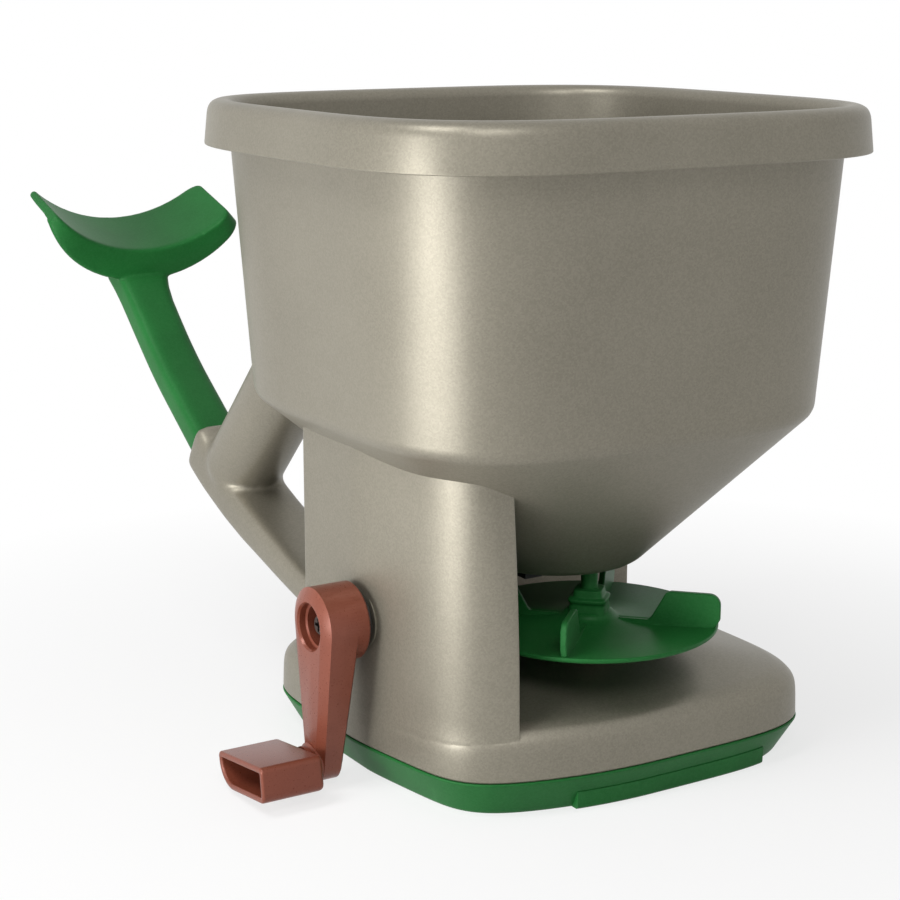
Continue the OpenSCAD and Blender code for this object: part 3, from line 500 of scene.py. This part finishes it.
def makeHousing(s, tub):
    shell = loft("housing_shell", softBase(s, s["deckOut"], 5))
    combine(shell, makeColumn(s), "UNION")
    combine(shell, makeRearWall(s), "UNION")
    combine(shell, loft("under", [baseRing(s, *v, 120) for v in s["deckIn"]]), "DIFFERENCE")
    hollow = np.array(s["skin"]) + 0.004 - s["wall"] / s["half"]
    for low, high in ((11, s["shelf"][0]), (s["shelf"][1], s["top"] + 2)):
        levels = np.linspace(low, high, 8)
        space = loft("hollow", [columnRing(s, z, hollow, s["wall"], 30, 120) for z in levels])
        combine(shell, space, "DIFFERENCE")
    for x, y in s["posts"]:
        combine(shell, rod("post", s["postR"], *s["postZ"], x, y, 40), "UNION")
    for span in s["crankSeats"]:
        combine(shell, crossRod("crank_seat", *span, *s["crankAt"]), "UNION")
    for span in s["laySeats"]:
        combine(shell, crossRod("lay_seat", *span, *s["layAt"]), "UNION")
    combine(shell, rod("collar", *s["spinCollar"], *s["spinAt"]), "UNION")
    combine(shell, hopperCore(tub), "DIFFERENCE")
    for span in s["spinBores"]:
        combine(shell, rod("spin_bore", *span, *s["spinAt"]), "DIFFERENCE")
    for span in s["crankBores"]:
        combine(shell, crossRod("crank_bore", *span, *s["crankAt"]), "DIFFERENCE")
    for span in s["layBores"]:
        combine(shell, crossRod("lay_bore", *span, *s["layAt"]), "DIFFERENCE")
    wide, run, levels = s["slot"]
    combine(shell, blockOf("slot", -wide, wide, *run, *levels), "DIFFERENCE")
    return shade(shell, 33)


fit(makeHousing(housing, hopper), "body", taupePearl, "taupe_plastic", "housing")


# base tray: sloping side, screw posts and a foot under the front edge
baseTray = {"out": [(0.915, 0, 0), (0.924, 0.8, 0.5), (0.9955, 11.7, 0.8), (1.0, 12.4, 0.4),
                    (0.998, 12.9, 0.2), (0.97, 12.95, 0)],
            "in": [(0.885, 3), (0.935, 9), (0.95, 14)],
            "foot": [(0.953, 0, 0), (0.962, 0.7, 0.4), (0.964, 6.3, 0)], "footSpan": (-29.5, 50),
            "drill": [("UNION", 5, 2, 12.9, 40), ("DIFFERENCE", 1.7, -2, 15, 32),
                      ("DIFFERENCE", 3.5, -2, 5, 40)]}


def makeTray(s, house):
    tray = loft("base_tray", softBase(house, s["out"], 3))
    foot = loft("foot", softBase(house, s["foot"], 3))
    combine(foot, blockOf("span", *s["footSpan"], -130, -50, -2, 12), "INTERSECT")
    combine(tray, foot, "UNION")
    combine(tray, loft("pocket", [baseRing(house, *v, 120) for v in s["in"]]), "DIFFERENCE")
    for x, y in house["posts"]:
        for operation, radius, low, high, sides in s["drill"]:
            combine(tray, rod("screw_post", radius, low, high, x, y, sides), operation)
    return shade(tray, 33)


fit(makeTray(baseTray, housing), "body", leafGreen, "green_plastic", "base_plate")


# grip loop: round grip, flat strut and the socket that takes the stem
gripLoop = {"x": -60, "foot": (110, 86), "radius": 15, "capR": 15.4, "length": 76, "strutHalf": 13.5,
            "mouth": (134, 89.5), "slope": 33,
            "strut": [(25.6, 43.9, 56.4), (36, 46.1, 58.6), (46, 48.2, 60.6), (60, 51.6, 64.8),
                      (75, 55.6, 69.7), (90, 59.4, 75), (105, 64.2, 80.9), (118, 69.3, 86.4),
                      (127, 73.6, 90), (134, 77.4, 90.6)],
            "socket": [(-27, 12.8, 7.2), (-20, 13.6, 8.9), (-12, 13.7, 10), (-3, 13.7, 10.9),
                       (-0.6, 13.6, 10.9), (0, 13.2, 10.5)],
            "bore": (9.95, 6.65), "boreX": -1.2, "boreLow": -1.35, "boreEnd": -17.4, "screwAt": -12,
            "voxel": 0.9, "passes": 44}


def stemAxes(slope):
    c, d = math.cos(math.radians(slope)), math.sin(math.radians(slope))
    return np.array([0, c, d]), np.array([0, -d, c])


def makeGripLoop(s, tub):
    x = s["x"]
    rings = []
    for y, low, high in s["strut"]:
        rings.append(barRing((x, y, (low + high) / 2), (0, 0, 1), s["strutHalf"], (high - low) / 2, 5.5))
    piece = loft("grip_loop", rings)
    along, up = np.array([0, -0.7071, 0.7071]), np.array([0, 0.7071, 0.7071])
    foot = np.array([x, *s["foot"]], float)
    rings = []
    for d in (-15.2, -14, -11, -7, -3, *np.linspace(0, s["length"], 9)):
        r = math.sqrt(max(s["capR"] ** 2 - d * d, 1)) if d < 0 else s["radius"]
        rings.append(barRing(foot + along * d, up, r, r, 2.1))
    combine(piece, loft("grip", rings), "UNION")
    along, up = stemAxes(s["slope"])
    mouth = np.array([x, *s["mouth"]], float)
    rings = [barRing(mouth + along * d, up, wide, high, 6) for d, wide, high in s["socket"]]
    combine(piece, loft("socket", rings), "UNION")
    moulded(piece, s["voxel"], s["passes"])
    bore = mouth + np.array([s["boreX"], 0, 0]) + up * s["boreLow"]
    rings = [barRing(bore + along * d, up, *s["bore"], 4.5) for d in (s["boreEnd"] - 0.4, 4)]
    combine(piece, loft("bore", rings), "DIFFERENCE")
    combine(piece, hopperCore(tub), "DIFFERENCE")
    at = mouth + along * s["screwAt"]
    for radius, near, far in ((1.7, x + 20, x - 11), (3.3, x + 20, x + 12.4)):
        combine(piece, crossRod("screw_hole", radius, near, far, at[1], at[2]), "DIFFERENCE")
    return shade(piece, 40)


fit(makeGripLoop(gripLoop, hopper), "body", taupePearl, "taupe_plastic", "handle")


# forearm rest: curved stem and an open saddle with a turned down front lip
armRest = {"x": -60, "shift": -1.2, "low": -1.35, "wide": 9.7, "thick": 6.4,
           "mouth": (134, 89.5), "slope": 33, "first": 46, "upper": 40.5,
           "flare": [(24, 9.8, 0), (33, 9.9, 0.1), (41, 10.4, 0.5), (48, 11.4, 1.2), (56, 13, 2)],
           "heel": [(17, 16.1, 12.6), (24, 11.4, 12), (30, 7.4, 11.4), (36, 3.4, 10.8)], "heelTop": 1.4,
           "saddleAt": (197, 176), "saddleTilt": 17, "saddleR": 55.6, "saddleDepth": 17,
           "sweep": (45.5, 42.4), "arcHalf": 44, "length": 38,
           "skin": 3.2, "lip": 14.5, "corner": (6, 5), "cornerRun": (15, 8), "voxel": 0.55, "passes": 9}


def saddlePoint(s, angle, r, v):
    y = s["saddleR"] - s["saddleDepth"] - (s["saddleR"] + r) * math.cos(angle)
    c, d = math.cos(math.radians(s["saddleTilt"])), math.sin(math.radians(s["saddleTilt"]))
    x = s["x"] + (s["saddleR"] + r) * math.sin(angle)
    return x, s["saddleAt"][0] - y * d + v * c, s["saddleAt"][1] + y * c + v * d


def makeArmRest(s):
    rings = []
    for share in np.sin(np.linspace(-math.pi / 2, math.pi / 2, 97)):
        angle = math.radians(s["sweep"][0 if share < 0 else 1]) * share
        lip = s["lip"] * (1 - 0.42 * share ** 2 - (0.25 * share ** 4 if share < 0 else 0))
        corner, run = (s[key][0 if share < 0 else 1] for key in ("corner", "cornerRun"))
        edge = max(abs(share) * s["arcHalf"] - s["arcHalf"] + run, 0) / run
        near = corner * (1 - math.sqrt(max(1 - edge ** 2, 0)))
        skin, far = s["skin"], s["length"] - near
        low = max(lip, skin + 1.6)
        section = [(near + 0.3, 0.9), (near + 0.9, 0.2), (near + 2.4, 0), (14, 0), (24, 0),
                   (far - 1.4, 0), (far - 0.3, 0.6), (far, 1.5), (far - 0.5, 2.5),
                   (far - 1.8, skin - 0.1), (24, skin + 0.3), (14, skin + 0.5), (near + 5.0, skin + 0.9),
                   (near + 3.9, skin + 0.5 + 0.25 * (low - skin)), (near + 3.6, low - 0.8),
                   (near + 2.8, low), (near + 1.0, low), (near + 0.2, low - 0.8), (near, low * 0.45 + 0.5)]
        rings.append(np.array([saddlePoint(s, angle, r, v) for v, r in section]))
    piece = loft("arm_saddle", rings)
    along, up = stemAxes(s["slope"])
    later, laterUp = stemAxes(s["upper"])
    start = np.array([s["x"] + s["shift"], *s["mouth"]], float) + up * s["low"]
    bend = start + along * s["first"]
    path = [(start + along * d, up) for d in (-17.2, -8, 4, 18, 30)]
    for share in np.linspace(0, 1, 7):
        turn = stemAxes(s["slope"] + (s["upper"] - s["slope"]) * share)
        before, after = bend - along * 14, bend + later * 14
        at = (1 - share) ** 2 * before + 2 * share * (1 - share) * bend + share ** 2 * after
        path.append((at, turn[1]))
    path = [(at, n, s["wide"], s["thick"]) for at, n in path]
    for d, wide, aside in s["flare"]:
        path.append((bend + later * d + np.array([aside, 0, 0]), laterUp, wide, s["thick"]))
    # heel: the stem runs on under the saddle and thins out
    heelUp = stemAxes(s["saddleTilt"])[1]
    heelX = s["shift"] + s["flare"][-1][2]
    for v, deep, wide in s["heel"]:
        at = np.array(saddlePoint(s, 0, (deep + s["heelTop"]) / 2, v)) + np.array([heelX, 0, 0])
        path.append((at, heelUp, wide, (deep - s["heelTop"]) / 2))
    stem = loft("stem", [barRing(at, n, wide, thick, 4.5) for at, n, wide, thick in path])
    combine(piece, stem, "UNION")
    turns = np.linspace(-math.pi, math.pi, 120, endpoint=False)
    rings = [np.array([saddlePoint(s, a, -0.02, v) for a in turns]) for v in (-24, 70)]
    combine(piece, loft("arm_space", rings), "DIFFERENCE")
    moulded(piece, s["voxel"], s["passes"])
    return shade(piece, 60)


fit(makeArmRest(armRest), "body", leafGreen, "green_plastic", "forearm_rest")


# spinner: dished disc, square hub post and four paddles
spinner = {"y": -40, "radius": 45.3, "rimZ": 52.7, "boreR": 3.02, "paddles": 4, "first": -46,
           "bladeTop": 64.5, "bladeIn": 25.5, "bladeOut": 46.2, "thick": 2.2, "cornerR": 4}


def makeDisc(s):
    r, z = s["radius"], s["rimZ"]
    profile = [(s["boreR"], z - 4, 0), (14, z - 3.6, 2), (r - 1.4, z - 2.2, 0.8), (r, z - 1.3, 0.5),
               (r, z - 0.1, 0.5), (r - 1.3, z - 0.1, 0.4), (20, z - 0.7, 6), (9.6, z + 1.0, 3),
               (8.2, z + 3.4, 1.5), (s["boreR"], z + 4.0, 0)]
    rings = [squareRing(p[0], 2, -s["y"], p[1], 160) for p in profile]
    return shade(loft("spinner_disc", roundRings(rings, [p[2] for p in profile]), closed=True), 40)


def makeHub(s):
    z, turn = s["rimZ"], math.radians(s["first"])
    levels = [(7.4, z + 0.2, 0), (6.3, z + 6.2, 0.8), (6.9, z + 6.9, 0.4), (6.9, z + 7.9, 0.4),
              (5.4, z + 8.4, 0.4), (5.1, z + 10.9, 0.5), (4.4, z + 11, 0)]
    rings = [squareRing(h, 5, -s["y"], at, 96, turn) for h, at, soft in levels]
    rings = roundRings(rings, [v[2] for v in levels], 3)
    rings += [squareRing(s["boreR"], 2, -s["y"], at, 96, turn) for at in (z + 11, z + 0.2)]
    return shade(loft("spinner_hub", rings, closed=True), 40)


def makePaddle(s):
    foot, top, r = s["rimZ"] - 1.2, s["bladeTop"], s["cornerR"]
    out, inner, rib = s["bladeOut"], s["bladeIn"], foot + 2.2
    turns = np.linspace(0, math.pi / 2, 9)
    outline = [(5, foot), (out - 5, foot), (out - 1.6, foot + 1.2), (out, foot + 4)]
    outline += [(out - r + r * math.cos(a), top - r + r * math.sin(a)) for a in turns]
    outline += [(inner + 3.4, top), (inner + 1.6, top - 0.7), (inner - 3.4, rib + 1)]
    outline += [(inner - 4.6, rib), (5, rib)]
    outline = np.array(outline, float)
    middle = outline.mean(axis=0)
    half = s["thick"] / 2
    rings = []
    for y, shrink in ((-half, 0.4), (-half + 0.35, 0), (half - 0.35, 0), (half, 0.4)):
        pull = outline - middle
        flat = outline - pull * (shrink / np.maximum(np.linalg.norm(pull, axis=1), 1))[:, None]
        rings.append(np.stack([flat[:, 0], np.full(len(flat), y), flat[:, 1]], axis=1))
    return shade(loft("paddle", rings), 30)


def spokeTree():
    tree = bpy.data.node_groups.new("spokes", "GeometryNodeTree")
    tree.interface.new_socket("Geometry", in_out="INPUT", socket_type="NodeSocketGeometry")
    for label, kind in (("Spoke", "Object"), ("Count", "Int"), ("First Angle", "Float"),
                        ("Centre", "Vector"), ("Finish", "Material")):
        tree.interface.new_socket(label, in_out="INPUT", socket_type="NodeSocket" + kind)
    tree.interface.new_socket("Geometry", in_out="OUTPUT", socket_type="NodeSocketGeometry")
    given, made = tree.nodes.new("NodeGroupInput").outputs, tree.nodes.new("NodeGroupOutput").inputs
    row = tree.nodes.new("GeometryNodeMeshLine")
    row.inputs["Offset"].default_value = (0, 0, 0)
    source = tree.nodes.new("GeometryNodeObjectInfo")
    index = tree.nodes.new("GeometryNodeInputIndex")
    pitch, angle = tree.nodes.new("ShaderNodeMath"), tree.nodes.new("ShaderNodeMath")
    pitch.operation, angle.operation = "DIVIDE", "MULTIPLY_ADD"
    pitch.inputs[0].default_value = 2 * math.pi
    turn = tree.nodes.new("ShaderNodeCombineXYZ")
    copies = tree.nodes.new("GeometryNodeInstanceOnPoints")
    shift = tree.nodes.new("GeometryNodeTransform")
    real = tree.nodes.new("GeometryNodeRealizeInstances")
    paint = tree.nodes.new("GeometryNodeSetMaterial")
    for a, b in ((given["Count"], row.inputs["Count"]),
                 (given["Spoke"], source.inputs["Object"]),
                 (given["Count"], pitch.inputs[1]),
                 (index.outputs[0], angle.inputs[0]),
                 (pitch.outputs[0], angle.inputs[1]),
                 (given["First Angle"], angle.inputs[2]),
                 (angle.outputs[0], turn.inputs["Z"]),
                 (row.outputs["Mesh"], copies.inputs["Points"]),
                 (source.outputs["Geometry"], copies.inputs["Instance"]),
                 (turn.outputs[0], copies.inputs["Rotation"]),
                 (copies.outputs["Instances"], real.inputs["Geometry"]),
                 (real.outputs["Geometry"], shift.inputs["Geometry"]),
                 (given["Centre"], shift.inputs["Translation"]),
                 (shift.outputs["Geometry"], paint.inputs["Geometry"]),
                 (given["Finish"], paint.inputs["Material"]),
                 (paint.outputs["Geometry"], made["Geometry"])):
        tree.links.new(a, b)
    return tree


def setInputs(modifier, **values):
    for item in modifier.node_group.interface.items_tree:
        key = item.name.replace(" ", "")
        if item.in_out == "INPUT" and key in values:
            modifier[item.identifier] = values[key]


def makePaddles(s, finish):
    blade = makePaddle(s)
    piece = link("spinner_paddles", bpy.data.meshes.new("spinner_paddles"))
    copies = piece.modifiers.new("spokes", "NODES")
    copies.node_group = spokeTree()
    setInputs(copies, Spoke=blade, Count=s["paddles"], FirstAngle=math.radians(s["first"]),
              Centre=(0.0, s["y"] * mm, 0.0), Finish=finish)
    settle(piece)
    drop(blade)
    return piece


fit(makeDisc(spinner), "spinner", leafGreen, "green_plastic", "impeller")
fit(makeHub(spinner), "spinner", leafGreen, "green_plastic", "impeller")
fit(makePaddles(spinner, leafGreen), "spinner", leafGreen, "green_plastic", "impeller")


# crank: tapered arm with a chamfered face, boss with a stepped recess, hollow knob
crank = {"y": -13, "z": 58, "throw": 48.5, "bossR": 13.5, "pinR": 7, "back": 80, "armBack": 84, "pinBack": 88,
         "face": 97, "chamfer": (3.6, 1.75), "recessR": 7.15, "recessFloor": 89.2, "shankR": 2.2,
         "neckR": 6, "neckFace": 100}


def armOutline(s, inset, count=40):
    big, small = s["bossR"] - inset, s["pinR"] - inset
    lean = math.asin((s["bossR"] - s["pinR"]) / s["throw"])
    side = np.linspace(0, 1, 14)[1:-1, None]
    top = np.linspace(-lean, math.pi + lean, count)
    low = np.linspace(math.pi + lean, 2 * math.pi - lean, count)
    above = big * np.stack([np.cos(top), np.sin(top)], axis=1)
    below = small * np.stack([np.cos(low), np.sin(low)], axis=1) - (0, s["throw"])
    near = above[-1] + (below[0] - above[-1]) * side
    far = below[-1] + (above[0] - below[-1]) * side
    return np.concatenate([above, near, below, far])


def turned(profile, y, z, count):
    # rings about the crank's direction from rows of radius and depth
    return alongX([squareRing(r, 2, 0, d, count) + np.array([z, y, 0]) for r, d in profile])


def makeArm(s):
    wide, tall = s["chamfer"]
    y, z, face = s["y"], s["z"], s["face"]
    neck, bore, rim = s["neckR"], s["recessR"], s["recessR"] + 0.9
    rings = []
    for inset, front, off in ((1.0, False, 0.0), (0.0, False, 0.9), (0.0, True, tall), (wide, True, 0.0)):
        flat = armOutline(s, inset)
        down = np.clip(-flat[:, 1] / s["throw"], 0, 1)
        back = s["armBack"] + (s["pinBack"] - s["armBack"]) * down + off
        depth = np.full(len(flat), face - off) if front else back
        rings.append(np.stack([-depth, flat[:, 0] + y, flat[:, 1] + z], axis=1))
    piece = loft("crank_lever", rings)
    boss = [(s["bossR"] - 0.8, s["back"]), (s["bossR"], s["back"] + 0.8), (s["bossR"], s["armBack"] + 4)]
    combine(piece, loft("boss", turned(boss, y, z, 80)), "UNION")
    stub = [(neck + 0.8, face - 3), (neck + 0.8, face + 0.6), (neck - 0.5, face + 1.2),
            (neck - 0.5, face + 2.0), (neck, face + 2.4), (neck, s["neckFace"])]
    combine(piece, loft("neck", turned(stub, y, z - s["throw"], 64)), "UNION")
    hole = [(s["shankR"], s["back"] - 2), (s["shankR"], s["recessFloor"]), (bore, s["recessFloor"]),
            (bore, face - 3.4), (rim, face - 3.0), (rim, face - 0.8), (bore + 1.7, face + 0.5)]
    combine(piece, loft("hole", turned(hole, y, z, 64)), "DIFFERENCE")
    return shade(piece, 28)


fit(makeArm(crank), "crank", rustCopper, "rust_plastic", "crank_arm")

knob = {"y": -13, "z": 9.5, "near": 100.6, "far": 123.6, "wide": 34, "high": 12.4, "tilt": -8, "wall": 2.1,
        "floor": 6, "corners": (2.0, 1.8, 9.6, 2.8), "pinR": 3.05}


def knobOutline(s, inset, count=10):
    w, h = s["wide"] / 2 - inset, s["high"] / 2 - inset
    points = []
    ways = ((-1, 1), (1, 1), (1, -1), (-1, -1))
    for (sy, sz), radius, start in zip(ways, s["corners"], (180, 90, 0, -90)):
        r = max(radius - inset, 0.5)
        for a in np.radians(np.linspace(start, start - 90, count)):
            points.append((sy * (w - r) + r * math.cos(a), sz * (h - r) + r * math.sin(a)))
    return np.array(points)


def makeKnob(s):
    deep = s["near"] + s["floor"]
    levels = [(1.6, s["near"], 0), (0.0, s["near"] + 0.4, 1.6), (0.0, s["far"], 0.9),
              (s["wall"], s["far"], 0.8), (s["wall"] + 0.3, deep, 1.0), (s["wall"] + 2.0, deep, 0)]
    lean = math.radians(s["tilt"])
    rings = []
    for inset, depth, soft in levels:
        flat = knobOutline(s, inset)
        y = flat[:, 0] * math.cos(lean) - flat[:, 1] * math.sin(lean)
        z = flat[:, 0] * math.sin(lean) + flat[:, 1] * math.cos(lean)
        rings.append(np.stack([np.full(len(flat), -depth), y + s["y"], z + s["z"]], axis=1))
    piece = loft("crank_paddle", roundRings(rings, [v[2] for v in levels], 4))
    bore = [(s["pinR"], s["near"] - 2), (s["pinR"], deep + 2)]
    combine(piece, loft("bore", turned(bore, s["y"], s["z"], 48)), "DIFFERENCE")
    return shade(piece, 30)


fit(makeKnob(knob), "knob", rustCopper, "rust_plastic", "crank_knob")


# solids that keep their own mesh and take a finish
keptFinish = {"steel": zincSteel, "dark_steel": darkSteel, "gear_nylon": creamNylon,
              "bearing_plastic": blackAcetal, "green_plastic": leafGreen,
              "taupe_plastic": taupePearl, "rust_plastic": rustCopper}
for part in frame["record"]["subparts"]:
    kept = nodes[part["node"]]
    if kept.hide_render:
        continue
    kept.data.materials.clear()
    kept.data.materials.append(keptFinish[part["material_slot"]])
print("kept solids dressed")


# stage: pale floor, white surround, soft lamps
# a lamp has its place, power, size and the height that it aims at
studio = {"floor": (0.92, 0.92, 0.92), "reach": 6000, "world": 0.15, "fade": (0.1, 0.36), "near": 0.72,
          "lamps": {"key": ((-0.79, -0.1, 0.16), 3.2, (0.26, 0.34), 0.13),
                    "card": ((-0.36, -0.07, 0.05), 0.75, (0.3, 0.18), 0.82),
                    "over": ((-0.8, -0.1, 1.2), 8.0, (0.5, 0.5), 0.15),
                    "fill": ((-0.5, -0.95, 1.05), 5.0, (0.5, 0.5), 0.15)}}
photoView = {"sensor": 36, "lens": 79.86, "place": (-0.3927, -0.5872, 0.2693), "tilt": 76.91, "turn": -31.5}


def makeFloor(s):
    far = s["reach"]
    corners = [(-far, -far, 0), (far, -far, 0), (far, far, 0), (-far, far, 0)]
    floor = pieceFrom("floor", corners, [(0, 1, 2, 3)])
    material = bpy.data.materials.new("paleFloor")
    material.use_nodes = True
    tree = material.node_tree
    shader = tree.nodes["Principled BSDF"]
    shader.inputs["Base Color"].default_value = (*s["floor"], 1)
    shader.inputs["Roughness"].default_value = 0.9
    shader.inputs["Specular IOR Level"].default_value = 0.0
    place = tree.nodes.new("ShaderNodeTexCoord")
    away = tree.nodes.new("ShaderNodeVectorMath")
    away.operation = "LENGTH"
    ramp = tree.nodes.new("ShaderNodeMapRange")
    ramp.inputs["From Min"].default_value, ramp.inputs["From Max"].default_value = s["fade"]
    ramp.inputs["To Min"].default_value = s["near"]
    path = tree.nodes.new("ShaderNodeLightPath")
    seen = tree.nodes.new("ShaderNodeMath")
    seen.operation = "MAXIMUM"
    both = tree.nodes.new("ShaderNodeMath")
    both.operation = "MULTIPLY"
    white = tree.nodes.new("ShaderNodeEmission")
    mix = tree.nodes.new("ShaderNodeMixShader")
    for a, b in ((place.outputs["Object"], away.inputs[0]),
                 (away.outputs["Value"], ramp.inputs["Value"]),
                 (path.outputs["Is Camera Ray"], seen.inputs[0]),
                 (path.outputs["Is Glossy Ray"], seen.inputs[1]),
                 (seen.outputs[0], both.inputs[0]),
                 (ramp.outputs["Result"], both.inputs[1]),
                 (both.outputs[0], mix.inputs[0]),
                 (shader.outputs[0], mix.inputs[1]),
                 (white.outputs[0], mix.inputs[2]),
                 (mix.outputs[0], tree.nodes["Material Output"].inputs["Surface"])):
        tree.links.new(a, b)
    floor.data.materials.append(material)


def makeWorld(s):
    world = bpy.data.worlds.new("whiteRoom")
    bpy.context.scene.world = world
    world.use_nodes = True
    tree = world.node_tree
    path = tree.nodes.new("ShaderNodeLightPath")
    seen = tree.nodes.new("ShaderNodeMath")
    seen.operation = "MAXIMUM"
    level = tree.nodes.new("ShaderNodeMapRange")
    level.inputs["To Min"].default_value, level.inputs["To Max"].default_value = s["world"], 1.0
    through = tree.nodes.new("ShaderNodeMath")
    through.operation = "MAXIMUM"
    tree.links.new(path.outputs["Is Camera Ray"], seen.inputs[0])
    tree.links.new(path.outputs["Is Transmission Ray"], seen.inputs[1])
    tree.links.new(seen.outputs[0], through.inputs[0])
    tree.links.new(path.outputs["Is Glossy Ray"], through.inputs[1])
    tree.links.new(through.outputs[0], level.inputs["Value"])
    tree.links.new(level.outputs["Result"], tree.nodes["Background"].inputs["Strength"])
    tree.nodes["Background"].inputs["Color"].default_value = (1, 1, 1, 1)


def makeLamps(s):
    for name, (place, power, size, aim) in s["lamps"].items():
        lamp = bpy.data.lights.new(name, "AREA")
        lamp.shape = "RECTANGLE"
        lamp.energy = power
        lamp.size, lamp.size_y = size
        holder = bpy.data.objects.new(name, lamp)
        bpy.context.scene.collection.objects.link(holder)
        holder.visible_camera = False
        holder.location = place
        holder.rotation_euler = (Vector((0, 0, aim)) - Vector(place)).to_track_quat("-Z", "Y").to_euler()


def makeCamera(s):
    camera = bpy.data.cameras.new("photoView")
    camera.sensor_width = s["sensor"]
    camera.lens = s["lens"]
    holder = bpy.data.objects.new("photoView", camera)
    bpy.context.scene.collection.objects.link(holder)
    holder.location = s["place"]
    holder.rotation_euler = (math.radians(s["tilt"]), 0, math.radians(s["turn"]))
    bpy.context.scene.camera = holder


makeFloor(studio)
makeWorld(studio)
makeLamps(studio)
makeCamera(photoView)
bpy.context.scene.view_settings.view_transform = "Standard"
print("stage set")
